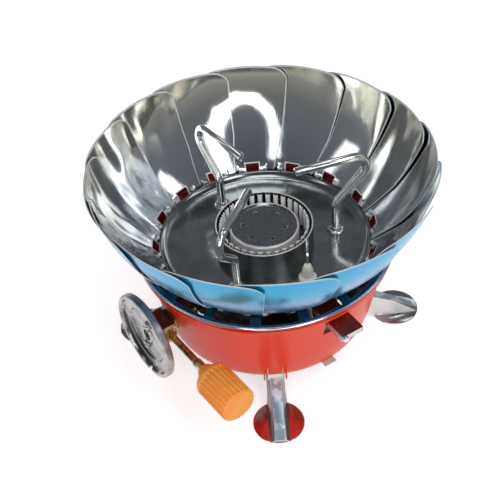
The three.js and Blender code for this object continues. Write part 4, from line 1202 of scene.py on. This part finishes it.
strip = run_tree(ribbon_tree, material=strip_steel)
piece("crimped_flame_strip", strip, "flame_strip", strip_steel, 40)
print("ribbon faces:", len(strip.polygons))

# %% Build the cup and the cap
def spun(profile, radius, steps):
    """A turned piece whose profile starts and ends on the axis."""
    return lathe([profile[0], *softened(profile[1:-1], radius, steps, closed=False), profile[-1]], 96, closed=False)


cup_profile = softened([(6.4, 23), (6.4, 31), (8, 33), (27.8, 33), (28.6, 33.8), (28.6, 48.8)], 0.6, 3, closed=False)
cup = lathe(softened(sheet(cup_profile, 0.8), 0.18, 2), 128)
piece("burner_cup_polished", cup, "burner_cup", cup_steel, 40)

cap_profile = [(0, 45.6), (18.2, 45.6), (19.6, 46.2), (19.6, 33.84), (20.4, 33.84), (20.4, 46.8), (19.7, 47.3),
               (18.9, 46.9), (17.8, 46.4), (0, 46.4)]
cap = run_tree(hole_tree, spun(cap_profile, 0.35, 3), count=CAP_HOLES, ring_radius=CAP_HOLE_RING,
               hole_radius=CAP_HOLE_R, phase=CAP_PHASE, middle=45.0, material=cap_steel)
piece("burner_cap_polished", cap, "burner_cap", cap_steel, 40)
print("cup faces:", len(cup.polygons), "cap faces:", len(cap.polygons))

# %% [markdown]
# ## Pot supports
# Each support is one bent wire. Its path has only four points, given as the reach
# from its pivot and the height: the foot in the plate, the knee, the tip over the
# bowl, and the end over the burner. The tree rounds the bends to their radius
# before it sweeps a circle along the path, so the wire keeps its full thickness
# in every bend.

# %% Tree: a bent wire
g, fields = new_tree("bent_wire", takes_geometry=True, wire_radius=2.4, bend=8.0)
path_curve = g.add("GeometryNodeMeshToCurve", {}, {"Mesh": fields["Geometry"]})
rounded = g.add("GeometryNodeFilletCurve", {"mode": "POLY"}, {
    "Curve": path_curve, "Count": 14, "Radius": fields["bend"] * MM, "Limit Radius": True})
ring = g.add("GeometryNodeCurvePrimitiveCircle", {"mode": "RADIUS"}, {
    "Resolution": 28, "Radius": fields["wire_radius"] * MM})
swept = g.add("GeometryNodeCurveToMesh", {}, {"Curve": rounded, "Profile Curve": ring, "Fill Caps": True})
wire_tree = close_tree(g, swept, fields["material"])
print("wire tree nodes:", len(wire_tree.nodes))

# %% Three supports
WIRE_BEND = 8.0
WIRE_FOOT, WIRE_KNEE, WIRE_TIP, WIRE_END = (0, 32), (0, 57), (30.2, 87), (-24.4, 86)

for key, (azimuth, swivel) in SUPPORTS.items():
    a, b = math.radians(azimuth), math.radians(azimuth + swivel)
    pivot = Vector((math.cos(a), math.sin(a), 0)) * SUPPORT_R
    out = Vector((math.cos(b), math.sin(b), 0))
    points = [(pivot + out * reach + Vector((0, 0, height))) * MM
              for reach, height in (WIRE_FOOT, WIRE_KNEE, WIRE_TIP, WIRE_END)]
    line = bpy.data.meshes.new("path")
    line.from_pydata(points, [(i, i + 1) for i in range(len(points) - 1)], [])
    bent = outwards(run_tree(wire_tree, line, wire_radius=WIRE_R, bend=WIRE_BEND, material=plated_wire), 0.001)
    piece(f"pot_support_{key}", bevelled(bent, 0.25, 2, 50), f"support_{key}", plated_wire, 40)
    dressed(f"support_eyelet_{key}", plated_wire, 0.2)
    dressed(f"support_retainer_{key}", zinc, 0.2)
print("supports:", ", ".join(SUPPORTS))

# %% [markdown]
# ## Knob
# The knob is a turned core with ribs that a hand can grip. One rib is a short
# bar with a rounded back; a geometry tree stands it on a ring of points, turned
# to face outwards. The core carries the soft shoulder towards the stem. The knob
# is made upright on the burner's axis, where the lathe works, and is then laid
# on its side at the stem.

# %% Tree: ribs round a knob
g, fields = new_tree("knob_ribs", takes_geometry=True, count=24, radius=10.0, height=0.68, width=1.5, start=51.0,
                     end=73.05)
outline = g.add("GeometryNodeCurvePrimitiveCircle", {"mode": "RADIUS"}, {"Resolution": 10, "Radius": 1.0 * MM})
outline = g.add("GeometryNodeTransform", {}, {
    "Geometry": outline, "Scale": g.vector(fields["width"] * 0.5, fields["height"], 1.0)})
spine = g.add("GeometryNodeCurvePrimitiveLine", {"mode": "POINTS"}, {
    "Start": g.vector(0.0, 0.0, fields["start"] * MM), "End": g.vector(0.0, 0.0, fields["end"] * MM)})
rib = g.add("GeometryNodeCurveToMesh", {}, {"Curve": spine, "Profile Curve": outline, "Fill Caps": True})
seats = g.add("GeometryNodePoints", {}, {"Count": fields["count"]})
turn = g.add("GeometryNodeInputIndex") * (2 * math.pi) / fields["count"]
seats = moved(g, seats, turn.cos() * fields["radius"], turn.sin() * fields["radius"], 0.0)
ribs = g.add("GeometryNodeInstanceOnPoints", {}, {
    "Points": seats, "Instance": rib, "Rotation": g.vector(0.0, 0.0, turn - math.pi / 2)})
whole = g.add("GeometryNodeJoinGeometry", {}, {"Geometry": [ribs, fields["Geometry"]]})
rib_tree = close_tree(g, whole, fields["material"])
print("rib tree nodes:", len(rib_tree.nodes))

# %% Turn the knob
KNOB_START, KNOB_END = 40.5, 73.4
STEM_X, STEM_Z = 74.6, 10.4

core_profile = [(0, KNOB_START), (3.8, KNOB_START), (5.4, 43.2), (6, 44.8), (9.3, 47.2), (10.7, 49.6), (10.7, 51.3),
                (10.05, 52.1), (10.05, 72.4), (10.2, 72.9), (9.6, KNOB_END), (0, KNOB_END)]
knob = run_tree(rib_tree, spun(core_profile, 0.8, 4), material=orange_plastic)
knob = bevelled(knob, 0.18, 2, 50)
knob.transform(Matrix.Translation((STEM_X * MM, 0, STEM_Z * MM)) @ Matrix.Rotation(-math.pi / 2, 4, "X"))
piece("knob_ribbed", turn_mesh(knob, GAS_AZIMUTH), "knob", orange_plastic, 45)
print("knob faces:", len(knob.polygons))

# %% [markdown]
# ## Gas side
# The valve block is sawn from brass bar. The adaptor that takes the cartridge is
# a die casting with a turned face, so it is spun on the lathe again, laid on its
# side, and a notch for the cartridge is cut into its rim. The rest comes from
# the CAD nodes, merged and bevelled.

# %% Turn the adaptor disc
FACE = 88.9
disc_profile = [(1.8, 83.5), (19, 83.5), (25.5, 84.1), (26.5, 84.9), (26.5, FACE - 0.6), (25.9, FACE), (24.1, FACE),
                (23.3, FACE - 2), (17.5, FACE - 2.4), (16.3, FACE - 3.8), (5.4, FACE - 3.8), (5, FACE - 2.8),
                (3.6, FACE - 2.8), (3.6, FACE - 4.8), (1.8, FACE - 4.8)]
disc = carved(lathe(softened(disc_profile, 0.35, 3)), [rod_mesh(2.6, 6, 32, place=(25.9, 3, FACE))])
disc.transform(Matrix.Translation((0, 0, GAS_Z * MM)) @ Matrix.Rotation(math.pi / 2, 4, "Y"))
piece("adaptor_disc_turned", turn_mesh(disc, GAS_AZIMUTH), "adaptor_disc", cast_metal, 40)
print("disc faces:", len(disc.polygons))

# %% Dress the gas side
gas_side = [
    dressed("valve_block", valve_brass, 0.35, 3, 40),
    dressed("packing_nut", brass, 0.2),
    dressed("valve_stem", brass, 0.15),
    dressed("spigot", brass, 0.2),
    dressed("cartridge_seal", rubber, 0.15),
    dressed("adaptor_screw_1", zinc, 0.15),
    dressed("adaptor_screw_2", zinc, 0.15),
    dressed("mixing_tube", zinc, 0.1),
    dressed("jet", brass, 0.1)]
print("gas side pieces:", len(gas_side))

# %% [markdown]
# ## Legs
# A leg is a channel pressed from bright strip with a round foot welded under
# it. Its shape in the CAD is already right, but a press can't make a sharp fold,
# so the channel gets wide bevels. A short lip at its head closes the view between
# the leg and the pan. The faces are then marked, so that one finish can treat the
# web, the near side and the foot each in its own way.

# %% Dress the legs
HEAD = [(61.9, -18.9), (61.2, -17.4), (60.8, -15.6), (60.1, -14.9), (59.3, -14.9), (59.6, -15.6), (60.1, -16.2),
        (60.5, -17.8), (61.2, -18.6)]
HEAD_HALF, FOOT_TOP = 4.6, -33.7

for key, azimuth in LEGS.items():
    head = bevelled(plate_mesh(softened(HEAD, 0.4, 3), -HEAD_HALF, HEAD_HALF), 0.2)
    leg = dressed(f"leg_{key}", leg_steel, 0.5, 3, 18, extra=[turn_mesh(head, azimuth)])
    across = Vector((-math.sin(math.radians(azimuth)), math.cos(math.radians(azimuth)), 0))
    side = leg.data.attributes.new("side", "FLOAT", "POINT")
    for vertex, item in zip(leg.data.vertices, side.data):
        item.value = vertex.co.dot(across) / MM
    mark(leg, "web", lambda centre, normal: (
        normal.z > 0.4 and centre.z > FOOT_TOP and abs(centre.dot(across)) < LEG_HALF_WEB))
    mark(leg, "near", lambda centre, normal: normal.y < -0.85)
    mark(leg, "foot", lambda centre, normal: normal.z > 0.9 and centre.z < FOOT_TOP)
    dressed(f"leg_pin_{key}", zinc, 0.25)
    print(leg.name, "faces:", len(leg.data.polygons))

# %% [markdown]
# ## Igniter and the rest
# The lever is a bent plate that presses a piezo unit, and the spark jumps from
# a wire in a ceramic insulator beside the burner. All of these are small plain
# shapes, so dressed copies of the CAD nodes are enough.

# %% Dress the igniter and the floor plate
lever = dressed("igniter_lever", lever_steel, 0.3, 3)
mark(lever, "top", lambda centre, normal: normal.z > 0.95)
igniter = [
    dressed("lever_rivet", bright_steel, 0.2),
    dressed("lever_pin", zinc, 0.2),
    dressed("igniter_bracket", bracket_steel, 0.2),
    dressed("piezo_body", piezo_plastic, 0.4, 3),
    dressed("piezo_plunger", black_plastic, 0.2),
    dressed("electrode_insulator", ceramic, 0.3, 3),
    dressed("electrode_wire", plated_wire, 0),
    dressed("ignition_lead", black_plastic, 0)]
floor_plate = dressed("floor_plate", zinc, 0.15)
print("igniter pieces:", len(igniter) + 1, "and", floor_plate.name)

# %% [markdown]
# ## Finish

# %% Settings
scene.view_settings.view_transform = "Standard"
